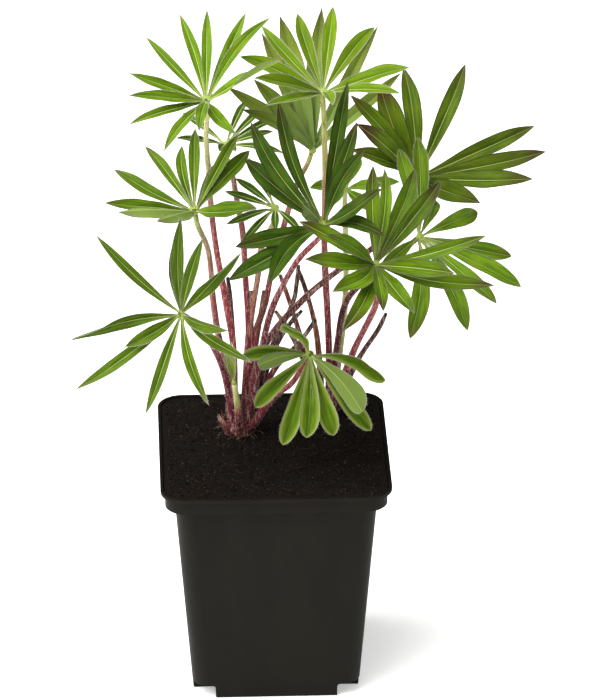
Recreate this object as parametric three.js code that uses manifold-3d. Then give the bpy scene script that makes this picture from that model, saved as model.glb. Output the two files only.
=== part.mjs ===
// A young lupin in a square nursery pot: a thin moulded pot full of soil, two shoots of red leaf stalks
// that stand in holes in the soil, and a palmate leaf at the end of each stalk.
// Millimetres, +Z up. The origin is the middle of the pot's underside and -Y is the front.

import * as THREE from "three";
import { mergeVertices } from "three/addons/utils/BufferGeometryUtils.js";
import Module from "manifold-3d";

const wasm = await Module();
wasm.setup();

// Driving dimensions, in millimetres and degrees.
const POT_SIDE = 90;
const POT_HEIGHT = 95;
const WALL = 1.2;
const GAP = 0.3;
const BLADE_THICKNESS = 0.6;

// The pot's outer form, from the floor up: [height, half width, corner radius].
const POT_RINGS = [
  [0, 32.7, 7],
  [87, 39.4, 8],
  [87.8, 43.2, 8.5],
  [93.1, 43.2, 8.5],
  [93.5, POT_SIDE / 2, 10],
  [POT_HEIGHT, POT_SIDE / 2, 10],
];
// Its cavity, which follows the outside through the collar and the rim.
const CAVITY_RINGS = [
  [1.6, 32.7 - WALL, 6],
  [87.3, 39.4 - WALL, 7],
  [88.8, 43.2 - WALL, 7.5],
  [93.5, 43.2 - WALL, 7.5],
  [94, POT_SIDE / 2 - WALL, 9],
  [POT_HEIGHT + 1, POT_SIDE / 2 - WALL, 9],
];
const CORNER_STEPS = 4;

// The floor is raised at the four corners, so the pot stands on a cross-shaped foot.
const FOOT_HALF = 24;
const CORNER_RISE = 5.3;
const DRAIN_RADIUS = 2.2;
const CORNER_DRAIN = 28;
const FLOOR_DRAIN = 14;

// The soil's top, just under the rim, with low waves.
const SOIL_TOP = 94.3;
const SOIL_WAVE = 0.35;
const SOIL_BANDS = [0.9, 0.7, 0.5, 0.3, 0.1];

// The two crowns stand in plain round holes in the soil.
const CROWNS = {
  left: { x: -13, y: 14, radius: 6 },
  right: { x: 22, y: 30, radius: 5 },
};
const HOLE_DEPTH = 14;
const CROWN_SIDES = 12;
// A crown from its buried tip up: [height over the soil's top, share of the radius].
const CROWN_RINGS = [
  [-12, 0.4],
  [-6, 0.9],
  [0, 1],
  [4, 0.85],
  [8, 0.35],
];

// Leaf stalks and old dry stalks.
const STALK_RADIUS = { foot: 1.5, top: 1 };
const OLD_STALK_RADIUS = { foot: 1.4, top: 0.9 };
const STALK_SIDES = 6;
const STALK_STEP = 15;
// From this far under the hub, a stalk meets its leaf half way between square on and straight.
const STALK_BEND = 6;

// A leaf's round hub, and where its leaflets start and have their sections, as shares of their length.
const HUB_RADIUS = 2.1;
const LEAFLET_ROOT = 1.4;
const SECTIONS = [0, 0.3, 0.6, 0.85, 1];
// The outlines of leaflets: how full the root is, where it narrows to the tip, and how pointed that tip is.
const OUTLINES = {
  pointed: [1, 3.2, 1],
  slender: [0.9, 2.6, 1.05],
  blunt: [1, 5, 0.62],
  oblong: [1.1, 4.2, 0.85],
  full: [0.55, 3.2, 1],
};
const NARROWEST = 0.1;
// Folded blades look narrower than they are, so the widths that were read off are made this much fuller.
const FULLER = 1.2;
// Each leaflet is folded up along its midrib, arched over its length, and turned half way to the light.
const FOLD = 27;
const ARCH = 0.04;
const DROOP = 0.02;
const LIGHT = new THREE.Vector3(0, -0.8, 0.6);
const LIGHT_SHARE = 0.5;

const COLOURS = {
  pot: 0x2a2926,
  soil: 0x1c1510,
  stalk: 0x7c2338,
  lime: 0x6fa32c,
  green: 0x4f8a2e,
  dark: 0x2f5a26,
  olive: 0x4b6126,
  light: 0x6f9c46,
  pale: 0xa8b87c,
};

// The leaves. faces gives the way that the leaf's face looks: degrees from the front towards +X, then degrees
// over the horizon. stalk lists the points that its stalk passes on the way down to the crown. A leaflet is
// [bearing in the leaf's plane, rise out of that plane, length, width where it isn't the leaf's own], and then
// its bow to the right as a share of the length, the roll of the whole blade and the twist of its outer half.
const LEAVES = [
  {
    name: "leaf_top_left",
    crown: "left",
    hub: [-25, 14, 237],
    faces: [-20, 62],
    width: 4.5,
    outline: OUTLINES.slender,
    colour: COLOURS.green,
    stalk: [[-25, 21, 220], [-24, 27, 201], [-23, 27, 184], [-21, 22, 168], [-18, 17, 151], [-15, 14, 130]],
    leaflets: [
      [149, 25, 35, 3.6, { bow: -0.02 }], [121, 25, 37, 4.1, { bow: 0.03 }],
      [102, 25, 37, 4, { bow: 0.005 }], [75, 25, 38, 4.5, { bow: 0.015 }],
      [60, 25, 41, 4.2, { bow: -0.05 }], [22, 30, 36, 5.6, { bow: 0.015, twist: 80 }],
      [-50, 25, 36, 4.6, { bow: 0.025 }], [-73, 35, 38, 4.4], [-99, 20, 37, 3.9],
      [-129, 25, 37, 3.8, { bow: 0.01 }], [-147, 35, 34, 4.6, { bow: -0.03 }], [-173, 30, 32, 4.2],
    ],
  },
  {
    name: "leaf_top_middle",
    crown: "right",
    hub: [20, 18, 238],
    faces: [-10, 78],
    width: 5,
    outline: OUTLINES.pointed,
    colour: COLOURS.lime,
    stalk: [[21, 21, 208], [21, 25, 170], [23, 29, 124]],
    leaflets: [
      [176, 25, 35, 6], [143, 25, 37, 4.6, { bow: -0.04 }], [115, 25, 37, 5.2, { bow: -0.02 }],
      [90, 25, 39, 5.2, { bow: -0.01 }], [62, 20, 36, 5.8], [0, 25, 37, 6.5, { bow: 0.01 }],
      [-21, 20, 36, 4.5], [-76, 30, 40, 4], [-117, 25, 40, 4.5, { bow: -0.03 }],
      [-138, 35, 37, 6.2, { bow: -0.03 }],
    ],
  },
  {
    name: "leaf_back",
    crown: "left",
    hub: [17, 44, 202],
    faces: [10, 60],
    width: 5,
    outline: OUTLINES.full,
    colour: COLOURS.olive,
    stalk: [[11, 38, 191], [6, 33, 177], [0, 25, 157], [-2, 22, 148], [-8, 17, 129]],
    leaflets: [
      [170, 40, 39, 5.5], [151, 30, 43, 5.5], [135, 35, 37, 6.5], [110, 30, 50, 6],
      [99, 35, 54, 7.5, { bow: -0.02 }], [78, 35, 56, 6.5, { bow: -0.02 }], [51, 35, 55, 5],
      [24, 30, 46, 5.5],
    ],
  },
  {
    name: "leaf_left",
    crown: "left",
    hub: [-30, 4, 195],
    faces: [-20, 80],
    width: 5,
    outline: OUTLINES.pointed,
    colour: COLOURS.green,
    stalk: [[-25, 6, 178], [-23, 9, 154], [-21, 11, 138], [-17, 13, 120]],
    leaflets: [
      [172, 20, 36, 4.8, { bow: -0.07 }], [140, 20, 37, 4.1, { bow: -0.015 }],
      [117, 15, 35, 4, { bow: -0.04 }], [107, 25, 38, 4.2, { bow: -0.01 }],
      [84, 10, 34, 5.6, { roll: 165 }], [78, 25, 38, 4.2, { bow: 0.02 }], [68, 15, 36, 6],
      [-22, 25, 35, 8.2, { bow: 0.06 }], [-92, 30, 41, 6.5, { bow: -0.05, roll: 170 }],
      [-128, 25, 37, 5.8, { bow: -0.03, roll: 170 }], [-146, 20, 37, 5, { bow: -0.02 }],
    ],
  },
  {
    name: "leaf_low_left",
    crown: "left",
    hub: [-36, -22, 164],
    faces: [-25, 25],
    width: 4,
    outline: OUTLINES.slender,
    colour: COLOURS.green,
    stalk: [[-29, -12, 153], [-23, -4, 140], [-18, 8, 119]],
    leaflets: [
      [144, 20, 45, 3.9, { bow: -0.03 }], [97, 20, 31, 4.6, { bow: -0.025 }],
      [87, 32, 44, 4.6, { bow: -0.015 }], [71, 30, 38, 4.3], [48, 24, 42, 5.2, { bow: 0.03, twist: -70 }],
      [-2, 42, 40, 5, { bow: 0.02, roll: -35 }], [-16, 25, 44, 4.2, { bow: 0.035 }],
      [-52, 25, 43, 4.2, { bow: 0.035 }], [-92, 20, 42, 4.3], [-131, 20, 50, 4.4, { bow: -0.03 }],
      [-134, 35, 26, 5.4, { bow: -0.03 }], [-155, 20, 44, 5, { bow: 0.04, twist: 85 }],
    ],
  },
  {
    name: "leaf_middle",
    crown: "left",
    hub: [19, -14, 197],
    faces: [-30, 42],
    width: 6.5,
    outline: OUTLINES.pointed,
    colour: COLOURS.dark,
    stalk: [[10, -7, 180], [6, -3, 171], [0, 2, 155], [-4, 8, 135]],
    leaflets: [
      [156, 15, 41, 7, { bow: -0.02 }], [141, 20, 49, 6.2, { bow: -0.055 }],
      [124, 20, 51, 5.4, { bow: -0.045 }], [91, 20, 56, 5.5, { bow: 0.02 }], [77, 25, 43, 5.4],
      [59, 35, 39, 6, { bow: -0.03 }], [22, 40, 43, 5.8, { bow: 0.08 }], [-5, 30, 40, 5.6, { bow: -0.04 }],
      [-91, 40, 43, 7.2, { bow: 0.06 }], [-124, 25, 44, 7, { bow: -0.03 }],
      [-140, 30, 36, 7, { bow: -0.03 }], [150, 62, 13, 6, { roll: 165 }],
    ],
  },
  {
    name: "leaf_right",
    crown: "left",
    hub: [58, 34, 194],
    faces: [35, 60],
    width: 7,
    outline: OUTLINES.pointed,
    colour: COLOURS.olive,
    stalk: [[50, 24, 183], [42, 18, 174], [25, 13, 164], [11, 13, 151], [-3, 13, 132]],
    leaflets: [
      [164, 30, 40, 6.5], [153, 40, 45, 7.5, { bow: -0.03 }], [124, 30, 44, 6.5],
      [101, 35, 40, 9.4, { bow: -0.065 }], [75, 30, 44, 6.6, { bow: 0.01 }],
      [40, 35, 49, 6.4, { bow: -0.01 }], [-10, 30, 50, 6.6, { bow: 0.02 }],
      [-28, 30, 51, 7, { bow: 0.045 }], [-46, 30, 46, 7.4, { bow: 0.06 }],
      [-99, 40, 46, 8, { bow: 0.07, roll: -25 }],
    ],
  },
  {
    name: "leaf_front_right",
    crown: "right",
    hub: [38, -29, 187],
    faces: [15, 48],
    width: 6.5,
    outline: OUTLINES.pointed,
    colour: COLOURS.green,
    stalk: [[40, -10, 169], [40, 2, 155], [32, 17, 127]],
    leaflets: [
      [170, 50, 38, 6], [152, 25, 37, 6], [85, 25, 38, 5.5], [75, 25, 37, 4.6, { bow: 0.03 }],
      [56, 25, 40, 6.5, { bow: 0.015 }], [40, 25, 41, 6.2, { bow: 0.01 }],
      [-1, 25, 44, 4.8, { bow: 0.045 }], [-27, 20, 47, 6, { bow: 0.07 }], [-36, 40, 36, 6.5],
      [-86, 40, 40, 6, { bow: 0.03 }], [-107, 40, 37, 5], [-126, 25, 43, 6, { bow: -0.03 }],
      [-148, 35, 36, 7.2, { bow: -0.09 }], [-176, 35, 40, 7, { bow: -0.05 }],
    ],
  },
  {
    name: "leaf_right_behind",
    crown: "right",
    hub: [57, 6, 182],
    faces: [45, 45],
    width: 6,
    outline: OUTLINES.oblong,
    colour: COLOURS.light,
    stalk: [[42, 14, 164], [30, 20, 149], [26, 25, 126]],
    leaflets: [
      [83, 20, 35, 5.5], [66, 20, 39, 6.2, { bow: 0.01 }], [24, -20, 34, 5], [-2, 0, 34, 6.2],
      [-45, 20, 37, 6.2, { bow: 0.04 }], [-64, 20, 44, 7.2], [-84, 20, 41, 5.8, { bow: 0.02 }],
      [-104, 10, 44, 6.8, { bow: -0.01 }], [-132, 0, 46, 7.2, { bow: -0.02 }], [-169, 5, 28, 5],
    ],
  },
  {
    name: "leaf_small_back_left",
    crown: "left",
    hub: [-17, 44, 205],
    faces: [10, 75],
    width: 3,
    outline: OUTLINES.pointed,
    colour: COLOURS.dark,
    stalk: [[-15, 38, 197], [-13, 33, 186], [-11, 28, 175], [-10, 23, 156], [-9, 18, 135]],
    leaflets: [
      [129, 10, 23], [58, 15, 24], [34, 20, 25], [12, 20, 24], [-14, 25, 20], [-38, 15, 26], [-80, 25, 11],
      [-118, 25, 11], [-165, 25, 24],
    ],
  },
  {
    name: "leaf_small_middle",
    crown: "left",
    hub: [2, 30, 184],
    faces: [-15, 58],
    width: 3,
    outline: OUTLINES.pointed,
    colour: COLOURS.dark,
    stalk: [[0, 28, 176], [-4, 25, 168], [-5, 23, 159], [-9, 18, 135]],
    leaflets: [
      [178, 20, 21], [154, 15, 20], [129, 20, 23], [-46, 20, 21], [-75, 30, 20], [-111, 15, 24],
      [-136, 20, 23],
    ],
  },
  {
    name: "leaf_low_front",
    crown: "left",
    hub: [14, -12, 141],
    faces: [0, 28],
    width: 7,
    outline: OUTLINES.blunt,
    fold: 36,
    colour: COLOURS.light,
    stalk: [[7, 2, 121], [1, 8, 113]],
    leaflets: [
      [182, 10, 27, 6, { bow: 0.06 }], [136, 50, 24, 6.2, { bow: 0.12, roll: 60 }],
      [-21, 5, 31, 7.4, { bow: -0.13, roll: -40 }], [-50, 27, 33, 9.6, { bow: -0.05, roll: 170 }],
      [-53, 5, 38, 7.4], [-75, 5, 33, 7.6, { bow: 0.02 }], [-93, 10, 33, 7.8], [-107, 5, 37, 7.4],
      [-138, 5, 30, 7], [-168, 30, 24, 5.4, { bow: 0.06, roll: 165 }],
    ],
  },
  {
    name: "leaf_small_back_right",
    crown: "right",
    hub: [30, 46, 184],
    faces: [10, 65],
    width: 4.5,
    outline: OUTLINES.pointed,
    colour: COLOURS.light,
    stalk: [[30, 41, 160], [29.7, 37.5, 140], [27.5, 33, 120]],
    leaflets: [
      [98, 0, 18, 3.5], [58, 0, 18, 3.5], [-12, 20, 22], [-42, 40, 20], [-77, 25, 20], [-125, 25, 21],
      [-155, 35, 23],
    ],
  },
  // The youngest leaf is still closed: its leaflets stand up close together beside the left crown.
  {
    name: "leaf_young",
    crown: "left",
    hub: [-15.2, 5, 120.5],
    faces: [-65, 80],
    width: 3.8,
    outline: OUTLINES.pointed,
    fold: 62,
    colour: COLOURS.pale,
    stalk: [[-13.6, 7.5, 106]],
    leaflets: [[20, 86, 16], [92, 85, 18], [160, 86, 17], [232, 84, 15], [305, 84, 14]],
  },
];

// Old dry stalks, from the cut or withered end down.
const OLD_STALKS = {
  left: [
    [[-17, 22, 158], [-16, 21, 149], [-15, 18, 130]],
    [[-3, 20, 153], [-4, 19, 145], [-6, 17, 133]],
    [[-8, 22, 152], [-8, 19, 141]],
    [[12, 20, 144], [8, 19, 140], [2, 17, 131]],
    [[17, 10, 145], [11, 11, 135], [1, 13, 122]],
    [[11, 28, 160], [10, 26, 152], [9, 24, 147], [-4, 16, 120]],
    [[-21.5, 11, 103.5], [-19, 11, 98.5]],
  ],
  right: [
    [[4, 38, 151], [8, 36, 139], [11, 34, 129]],
    [[11, 42, 152], [14, 39, 144], [18, 35, 128]],
    [[45, 20, 142], [42, 22, 134], [35, 26, 120]],
    [[2, 34, 137], [6, 33, 131], [12, 32, 119]],
  ],
};

const radians = THREE.MathUtils.degToRad;

// A closed skin over rings with the same number of points, each counter-clockwise seen from the last ring.
// Each panel is split along its shorter diagonal, so the two faces of a thin blade are split alike.
function skin(rings) {
  const count = rings[0].length;
  const points = rings.flat();
  const faces = [];
  for (let r = 0; r + 1 < rings.length; r += 1) {
    for (let i = 0; i < count; i += 1) {
      const a = r * count + i;
      const b = r * count + ((i + 1) % count);
      const [c, d] = [b + count, a + count];
      const across = points[a].distanceTo(points[c]) <= points[b].distanceTo(points[d]);
      faces.push(...(across ? [a, b, c, a, c, d] : [a, b, d, b, c, d]));
    }
  }
  const last = (rings.length - 1) * count;
  for (let i = 1; i + 1 < count; i += 1) {
    faces.push(0, i + 1, i, last, last + i, last + i + 1);
  }
  const geometry = new THREE.BufferGeometry();
  geometry.setAttribute("position", new THREE.Float32BufferAttribute(points.flatMap((p) => p.toArray()), 3));
  geometry.setIndex(faces);
  return geometry;
}

function toSolid(geometry) {
  const bare = geometry.clone();
  bare.deleteAttribute("normal");
  bare.deleteAttribute("uv");
  const merged = mergeVertices(bare);
  return new wasm.Manifold(
    new wasm.Mesh({
      numProp: 3,
      vertProperties: new Float32Array(merged.attributes.position.array),
      triVerts: new Uint32Array(merged.index.array),
    }),
  );
}

function toGeometry(solid) {
  const { vertProperties, triVerts } = solid.getMesh();
  const geometry = new THREE.BufferGeometry();
  geometry.setAttribute("position", new THREE.BufferAttribute(vertProperties, 3));
  geometry.setIndex(new THREE.BufferAttribute(triVerts, 1));
  geometry.computeVertexNormals();
  return geometry;
}

const join = (solids) => solids.reduce((all, one) => all.add(one));

function mesh(name, solid, colour, roughness) {
  const material = new THREE.MeshStandardMaterial({ color: colour, roughness, metalness: 0 });
  const made = new THREE.Mesh(toGeometry(solid), material);
  made.name = name;
  return made;
}

function circle(centre, across, up, radius, sides) {
  return Array.from({ length: sides }, (_, i) => {
    const turn = (2 * Math.PI * i) / sides;
    return centre
      .clone()
      .addScaledVector(across, radius * Math.cos(turn))
      .addScaledVector(up, radius * Math.sin(turn));
  });
}

// A stack of round sections on an upright axis: rings are [height, radius].
function turned(x, y, rings, sides) {
  const [across, up] = [new THREE.Vector3(1, 0, 0), new THREE.Vector3(0, 1, 0)];
  return skin(rings.map(([z, radius]) => circle(new THREE.Vector3(x, y, z), across, up, radius, sides)));
}

function roundedSquare(half, radius, z) {
  const ring = [];
  for (let corner = 0; corner < 4; corner += 1) {
    const towards = radians(45 + 90 * corner);
    const centre = (half - radius) * Math.SQRT2;
    for (let step = 0; step <= CORNER_STEPS; step += 1) {
      const turn = radians(90 * corner + (90 * step) / CORNER_STEPS);
      ring.push(
        new THREE.Vector3(
          centre * Math.cos(towards) + radius * Math.cos(turn),
          centre * Math.sin(towards) + radius * Math.sin(turn),
          z,
        ),
      );
    }
  }
  return ring;
}

// Blocks under the four corners, up to a height, that start at a distance from the middle.
function cornerBlocks(from, height) {
  const size = POT_SIDE;
  return join(
    [[1, 1], [-1, 1], [-1, -1], [1, -1]].map(([x, y]) => {
      const block = new THREE.BoxGeometry(size, size, size);
      block.translate(x * (from + size / 2), y * (from + size / 2), height - size / 2);
      return toSolid(block);
    }),
  );
}

function drain(x, y) {
  return toSolid(turned(x, y, [[-1, DRAIN_RADIUS], [CORNER_RISE + 3, DRAIN_RADIUS]], 12));
}

function pot() {
  const outside = toSolid(skin(POT_RINGS.map(([z, half, radius]) => roundedSquare(half, radius, z))));
  const inside = toSolid(skin(CAVITY_RINGS.map(([z, half, radius]) => roundedSquare(half, radius, z))));
  const shell = outside
    .subtract(cornerBlocks(FOOT_HALF, CORNER_RISE))
    .subtract(inside.subtract(cornerBlocks(FOOT_HALF - WALL, CORNER_RISE + WALL)));
  const drains = [[1, 1], [-1, 1], [-1, -1], [1, -1]].flatMap(([x, y]) => [
    drain(x * CORNER_DRAIN, y * CORNER_DRAIN),
    drain(x * FLOOR_DRAIN, y * FLOOR_DRAIN),
  ]);
  return shell.subtract(join(drains));
}

function soilHeight(x, y) {
  return SOIL_TOP + SOIL_WAVE * (1 + Math.sin(0.31 * x + 0.8) * Math.cos(0.27 * y - 0.5));
}

function soil() {
  const inset = CAVITY_RINGS.slice(0, -1).map(([z, half, radius]) => roundedSquare(half - GAP, radius, z + GAP));
  const [, topHalf, topRadius] = CAVITY_RINGS.at(-1);
  const rim = roundedSquare(topHalf - GAP, topRadius, SOIL_TOP + 0.1);
  const bands = SOIL_BANDS.map((share) =>
    rim.map((p) => new THREE.Vector3(p.x * share, p.y * share, soilHeight(p.x * share, p.y * share))),
  );
  const block = toSolid(skin([...inset, rim, ...bands]));
  const holes = Object.values(CROWNS).map(({ x, y, radius }) => {
    const rings = [[SOIL_TOP - HOLE_DEPTH, radius + GAP], [POT_HEIGHT + 2, radius + GAP]];
    return toSolid(turned(x, y, rings, CROWN_SIDES));
  });
  return block.subtract(cornerBlocks(FOOT_HALF - WALL - GAP, CORNER_RISE + WALL + GAP)).subtract(join(holes));
}

// The way a leaf's own frame is turned: its Z is the way that the leaf faces.
function leafTurn(faces) {
  return new THREE.Euler(Math.PI / 2 - radians(faces[1]), 0, radians(faces[0]), "ZYX");
}

// A tapered stalk through points from the foot up.
function stalk(points, { foot, top }) {
  const curve = new THREE.CatmullRomCurve3(points);
  const steps = Math.max(3, Math.round(curve.getLength() / STALK_STEP));
  const frames = curve.computeFrenetFrames(steps);
  const rings = Array.from({ length: steps + 1 }, (_, i) => {
    const radius = THREE.MathUtils.lerp(foot, top, i / steps);
    return circle(curve.getPointAt(i / steps), frames.normals[i], frames.binormals[i], radius, STALK_SIDES);
  });
  return toSolid(skin(rings));
}

// Where a stalk starts inside its crown: a little to the side that it leaves on.
function stalkFoot(crown, towards) {
  const centre = new THREE.Vector3(crown.x, crown.y, SOIL_TOP - 1);
  const side = new THREE.Vector3(towards[0] - crown.x, towards[1] - crown.y, 0);
  return centre.addScaledVector(side.normalize(), crown.radius * 0.4);
}

function shoot(side) {
  const crown = CROWNS[side];
  const rings = CROWN_RINGS.map(([z, share]) => [SOIL_TOP + z, crown.radius * share]);
  const parts = [toSolid(turned(crown.x, crown.y, rings, CROWN_SIDES))];
  for (const leaf of LEAVES.filter((one) => one.crown === side)) {
    const back = new THREE.Vector3(0, 0, -1).applyEuler(leafTurn(leaf.faces));
    const hub = new THREE.Vector3(...leaf.hub);
    const onward = new THREE.Vector3(...leaf.stalk[0]).sub(hub).normalize();
    const away = back.add(onward).normalize();
    const end = hub.clone().addScaledVector(away, HUB_RADIUS + GAP);
    const before = hub.clone().addScaledVector(away, STALK_BEND);
    const way = leaf.stalk.map((p) => new THREE.Vector3(...p)).reverse();
    parts.push(stalk([stalkFoot(crown, leaf.stalk.at(-1)), ...way, before, end], STALK_RADIUS));
  }
  for (const old of OLD_STALKS[side]) {
    const way = old.map((p) => new THREE.Vector3(...p)).reverse();
    parts.push(stalk([stalkFoot(crown, old.at(-1)), ...way], OLD_STALK_RADIUS));
  }
  return join(parts);
}

// The share of its full width that a blade has at a share of its length.
function bladeWidth(share, [root, narrowing, point]) {
  const form = (s) => (0.08 + s) ** root * (1 - s ** narrowing) ** point;
  const fullest = Math.max(...Array.from({ length: 101 }, (_, i) => form(i / 100)));
  return Math.max(form(share) / fullest, NARROWEST);
}

// One leaflet: a thin V-folded blade from the hub out, made of sections across its midrib.
function leaflet([bearing, rise, length, width, bends = {}], outline, foldAngle, light) {
  const { bow = 0, roll = 0, twist = 0 } = bends;
  const [turn, lift] = [radians(bearing), radians(rise)];
  const along = new THREE.Vector3(
    Math.cos(lift) * Math.cos(turn),
    Math.cos(lift) * Math.sin(turn),
    Math.sin(lift),
  );
  const up = new THREE.Vector3(0, 0, 1).lerp(light, LIGHT_SHARE).projectOnPlane(along).normalize();
  const right = along.clone().cross(up);
  const fold = radians(foldAngle);
  const rings = SECTIONS.map((share) => {
    const arc = Math.sin(Math.PI * share);
    const middle = along.clone().multiplyScalar(LEAFLET_ROOT + share * (length - LEAFLET_ROOT));
    middle.addScaledVector(up, (ARCH * arc - DROOP * share ** 3) * length);
    middle.addScaledVector(right, bow * arc * length);
    const rolled = radians(roll + twist * THREE.MathUtils.smoothstep(share, 0.15, 0.85));
    const side = right.clone().multiplyScalar(Math.cos(rolled)).addScaledVector(up, Math.sin(rolled));
    const lifted = up.clone().multiplyScalar(Math.cos(rolled)).addScaledVector(right, -Math.sin(rolled));
    const reach = ((width * FULLER) / 2) * bladeWidth(share, outline);
    const edge = (way, height) =>
      middle
        .clone()
        .addScaledVector(side, way * reach * Math.cos(fold))
        .addScaledVector(lifted, Math.abs(way) * reach * Math.sin(fold) + height);
    const [top, under] = [BLADE_THICKNESS / 2, -BLADE_THICKNESS / 2];
    return [edge(0, top), edge(1, top), edge(1, under), edge(0, under), edge(-1, under), edge(-1, top)];
  });
  return toSolid(skin(rings));
}

// A leaf in its own frame, placed by its hub and the way that it faces.
function leaf({ name, hub, faces, width, outline, fold = FOLD, colour, leaflets }) {
  const turn = leafTurn(faces);
  const light = LIGHT.clone().applyQuaternion(new THREE.Quaternion().setFromEuler(turn).invert());
  const blades = leaflets.map(([bearing, rise, length, own = width, bends]) =>
    leaflet([bearing, rise, length, own, bends], outline, fold, light),
  );
  const knob = toSolid(new THREE.SphereGeometry(HUB_RADIUS, 6, 4));
  const made = mesh(name, join([knob, ...blades]), colour, 0.6);
  made.position.set(...hub);
  made.rotation.copy(turn);
  return made;
}

const group = new THREE.Group();
group.add(mesh("pot", pot(), COLOURS.pot, 0.45));
group.add(mesh("soil", soil(), COLOURS.soil, 0.95));
group.add(mesh("shoot_left", shoot("left"), COLOURS.stalk, 0.6));
group.add(mesh("shoot_right", shoot("right"), COLOURS.stalk, 0.6));
for (const one of LEAVES) {
  group.add(leaf(one));
}

export default group;
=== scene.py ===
"""A young lupin in a square nursery pot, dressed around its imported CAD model.

The leaves, the two shoots, the soil and the pot are rebuilt here as finer closed meshes that keep the form
and the place of their CAD nodes. Lengths in this script are millimetres, and each mesh is written in metres.
The pot stands on z = 0 and -Y is its front.
"""

import math
import random

import bmesh
import bpy
import numpy as np
from mathutils import Matrix, Vector, noise


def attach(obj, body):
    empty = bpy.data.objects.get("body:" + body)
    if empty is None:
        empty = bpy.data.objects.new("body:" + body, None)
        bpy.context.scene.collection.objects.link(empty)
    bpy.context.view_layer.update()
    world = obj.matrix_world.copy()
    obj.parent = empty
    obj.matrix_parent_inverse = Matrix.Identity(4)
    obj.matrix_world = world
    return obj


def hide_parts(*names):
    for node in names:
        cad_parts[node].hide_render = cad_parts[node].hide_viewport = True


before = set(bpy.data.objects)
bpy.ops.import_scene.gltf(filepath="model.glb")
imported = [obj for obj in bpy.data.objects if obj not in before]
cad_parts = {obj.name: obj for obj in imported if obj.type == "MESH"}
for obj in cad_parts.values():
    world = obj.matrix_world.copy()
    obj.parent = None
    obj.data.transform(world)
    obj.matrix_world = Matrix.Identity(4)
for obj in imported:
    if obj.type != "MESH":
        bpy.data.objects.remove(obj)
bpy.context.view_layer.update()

METRES = 0.001
BODY = "root"

# ---------------------------------------------------------------- sizes shared with the CAD part

# The pot's outer form and its cavity, from the floor up: (height, half width, corner radius).
POT_RINGS = (
    (0, 32.7, 7),
    (87, 39.4, 8),
    (87.8, 43.2, 8.5),
    (93.1, 43.2, 8.5),
    (93.5, 45, 10),
    (95, 45, 10),
)
CAVITY_RINGS = (
    (1.6, 31.5, 6),
    (87.3, 38.2, 7),
    (88.8, 42, 7.5),
    (93.5, 42, 7.5),
    (94, 43.8, 9),
    (96, 43.8, 9),
)
WALL = 1.2
GAP = 0.3
FOOT_HALF = 24
CORNER_RISE = 5.3
DRAIN_RADIUS = 2.2
CORNER_DRAIN = 28
FLOOR_DRAIN = 14
CORNERS = ((1, 1), (-1, 1), (-1, -1), (1, -1))

SOIL_TOP = 94.3
SOIL_WAVE = 0.35

CROWNS = {"left": (-13, 14, 6), "right": (22, 30, 5)}
CROWN_RINGS = ((-12, 0.4), (-6, 0.9), (0, 1), (4, 0.85), (8, 0.35))

STALK_RADIUS = (1.5, 1.0)
OLD_STALK_RADIUS = (1.4, 0.9)
STALK_BEND = 6

HUB_RADIUS = 2.1
LEAFLET_ROOT = 1.4
FOLD = 27
ARCH = 0.04
DROOP = 0.02
FULLER = 1.2
# Blades turn their faces partly towards the light.
LIGHT = np.array((0, -0.8, 0.6))
LIGHT_SHARE = 0.5

# ---------------------------------------------------------------- colours, as they look in daylight


def linear(code):
    """A hexadecimal sRGB colour as linear red, green and blue with full alpha."""
    channels = [int(code[i : i + 2], 16) / 255 for i in (0, 2, 4)]
    return (*[c / 12.92 if c <= 0.04045 else ((c + 0.055) / 1.055) ** 2.4 for c in channels], 1.0)


PLUM = linear("502320")
CRIMSON = linear("852e36")
WINE = linear("651828")
UMBER = linear("6a4232")
TAN = linear("97795a")
ROSE = linear("8f5046")
HUSK = linear("a88472")
STRAW = linear("b8bf78")
LEAF_STALK_GREEN = linear("aab35c")
RUST = linear("82452c")
BARK = linear("3e2a22")
ASH = linear("7d6e60")
CHAR = linear("1c1512")
HAIR = linear("e4e2d0")
FUZZ = linear("e6cabb")
GREY_HAIR = linear("a5a389")
DARK_HAIR = linear("54453c")
HUB_GREEN = linear("a3b558")
HUB_DOT = linear("33301a")
STALK_DARK = linear("260d10")

# How a stalk's colour runs from its foot to its leaf: (share of the way, colour). Before the first share and
# after the last one it stays the same.
STALK_TONES = {
    "tall": ((0, WINE), (0.25, CRIMSON), (0.48, CRIMSON), (0.6, ROSE), (0.7, TAN), (0.8, STRAW)),
    "fresh": ((0, WINE), (0.4, CRIMSON), (0.55, ROSE), (0.7, TAN), (0.9, LEAF_STALK_GREEN)),
    "red": ((0, WINE), (0.5, CRIMSON), (0.75, ROSE), (0.9, TAN), (1, LEAF_STALK_GREEN)),
    "crimson": ((0, WINE), (0.5, CRIMSON)),
    "wine": ((0.6, WINE), (1, CRIMSON)),
    "dark": ((0, WINE), (0.4, PLUM), (0.8, PLUM), (1, UMBER)),
    "pale": ((0, CRIMSON), (0.5, ROSE), (0.75, TAN), (1, STRAW)),
    "sprout": ((0, PLUM), (0.4, WINE), (0.55, ROSE), (0.68, LEAF_STALK_GREEN), (1, STRAW)),
    "young": ((0, WINE), (0.2, TAN), (0.4, LEAF_STALK_GREEN), (1, STRAW)),
}

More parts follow.
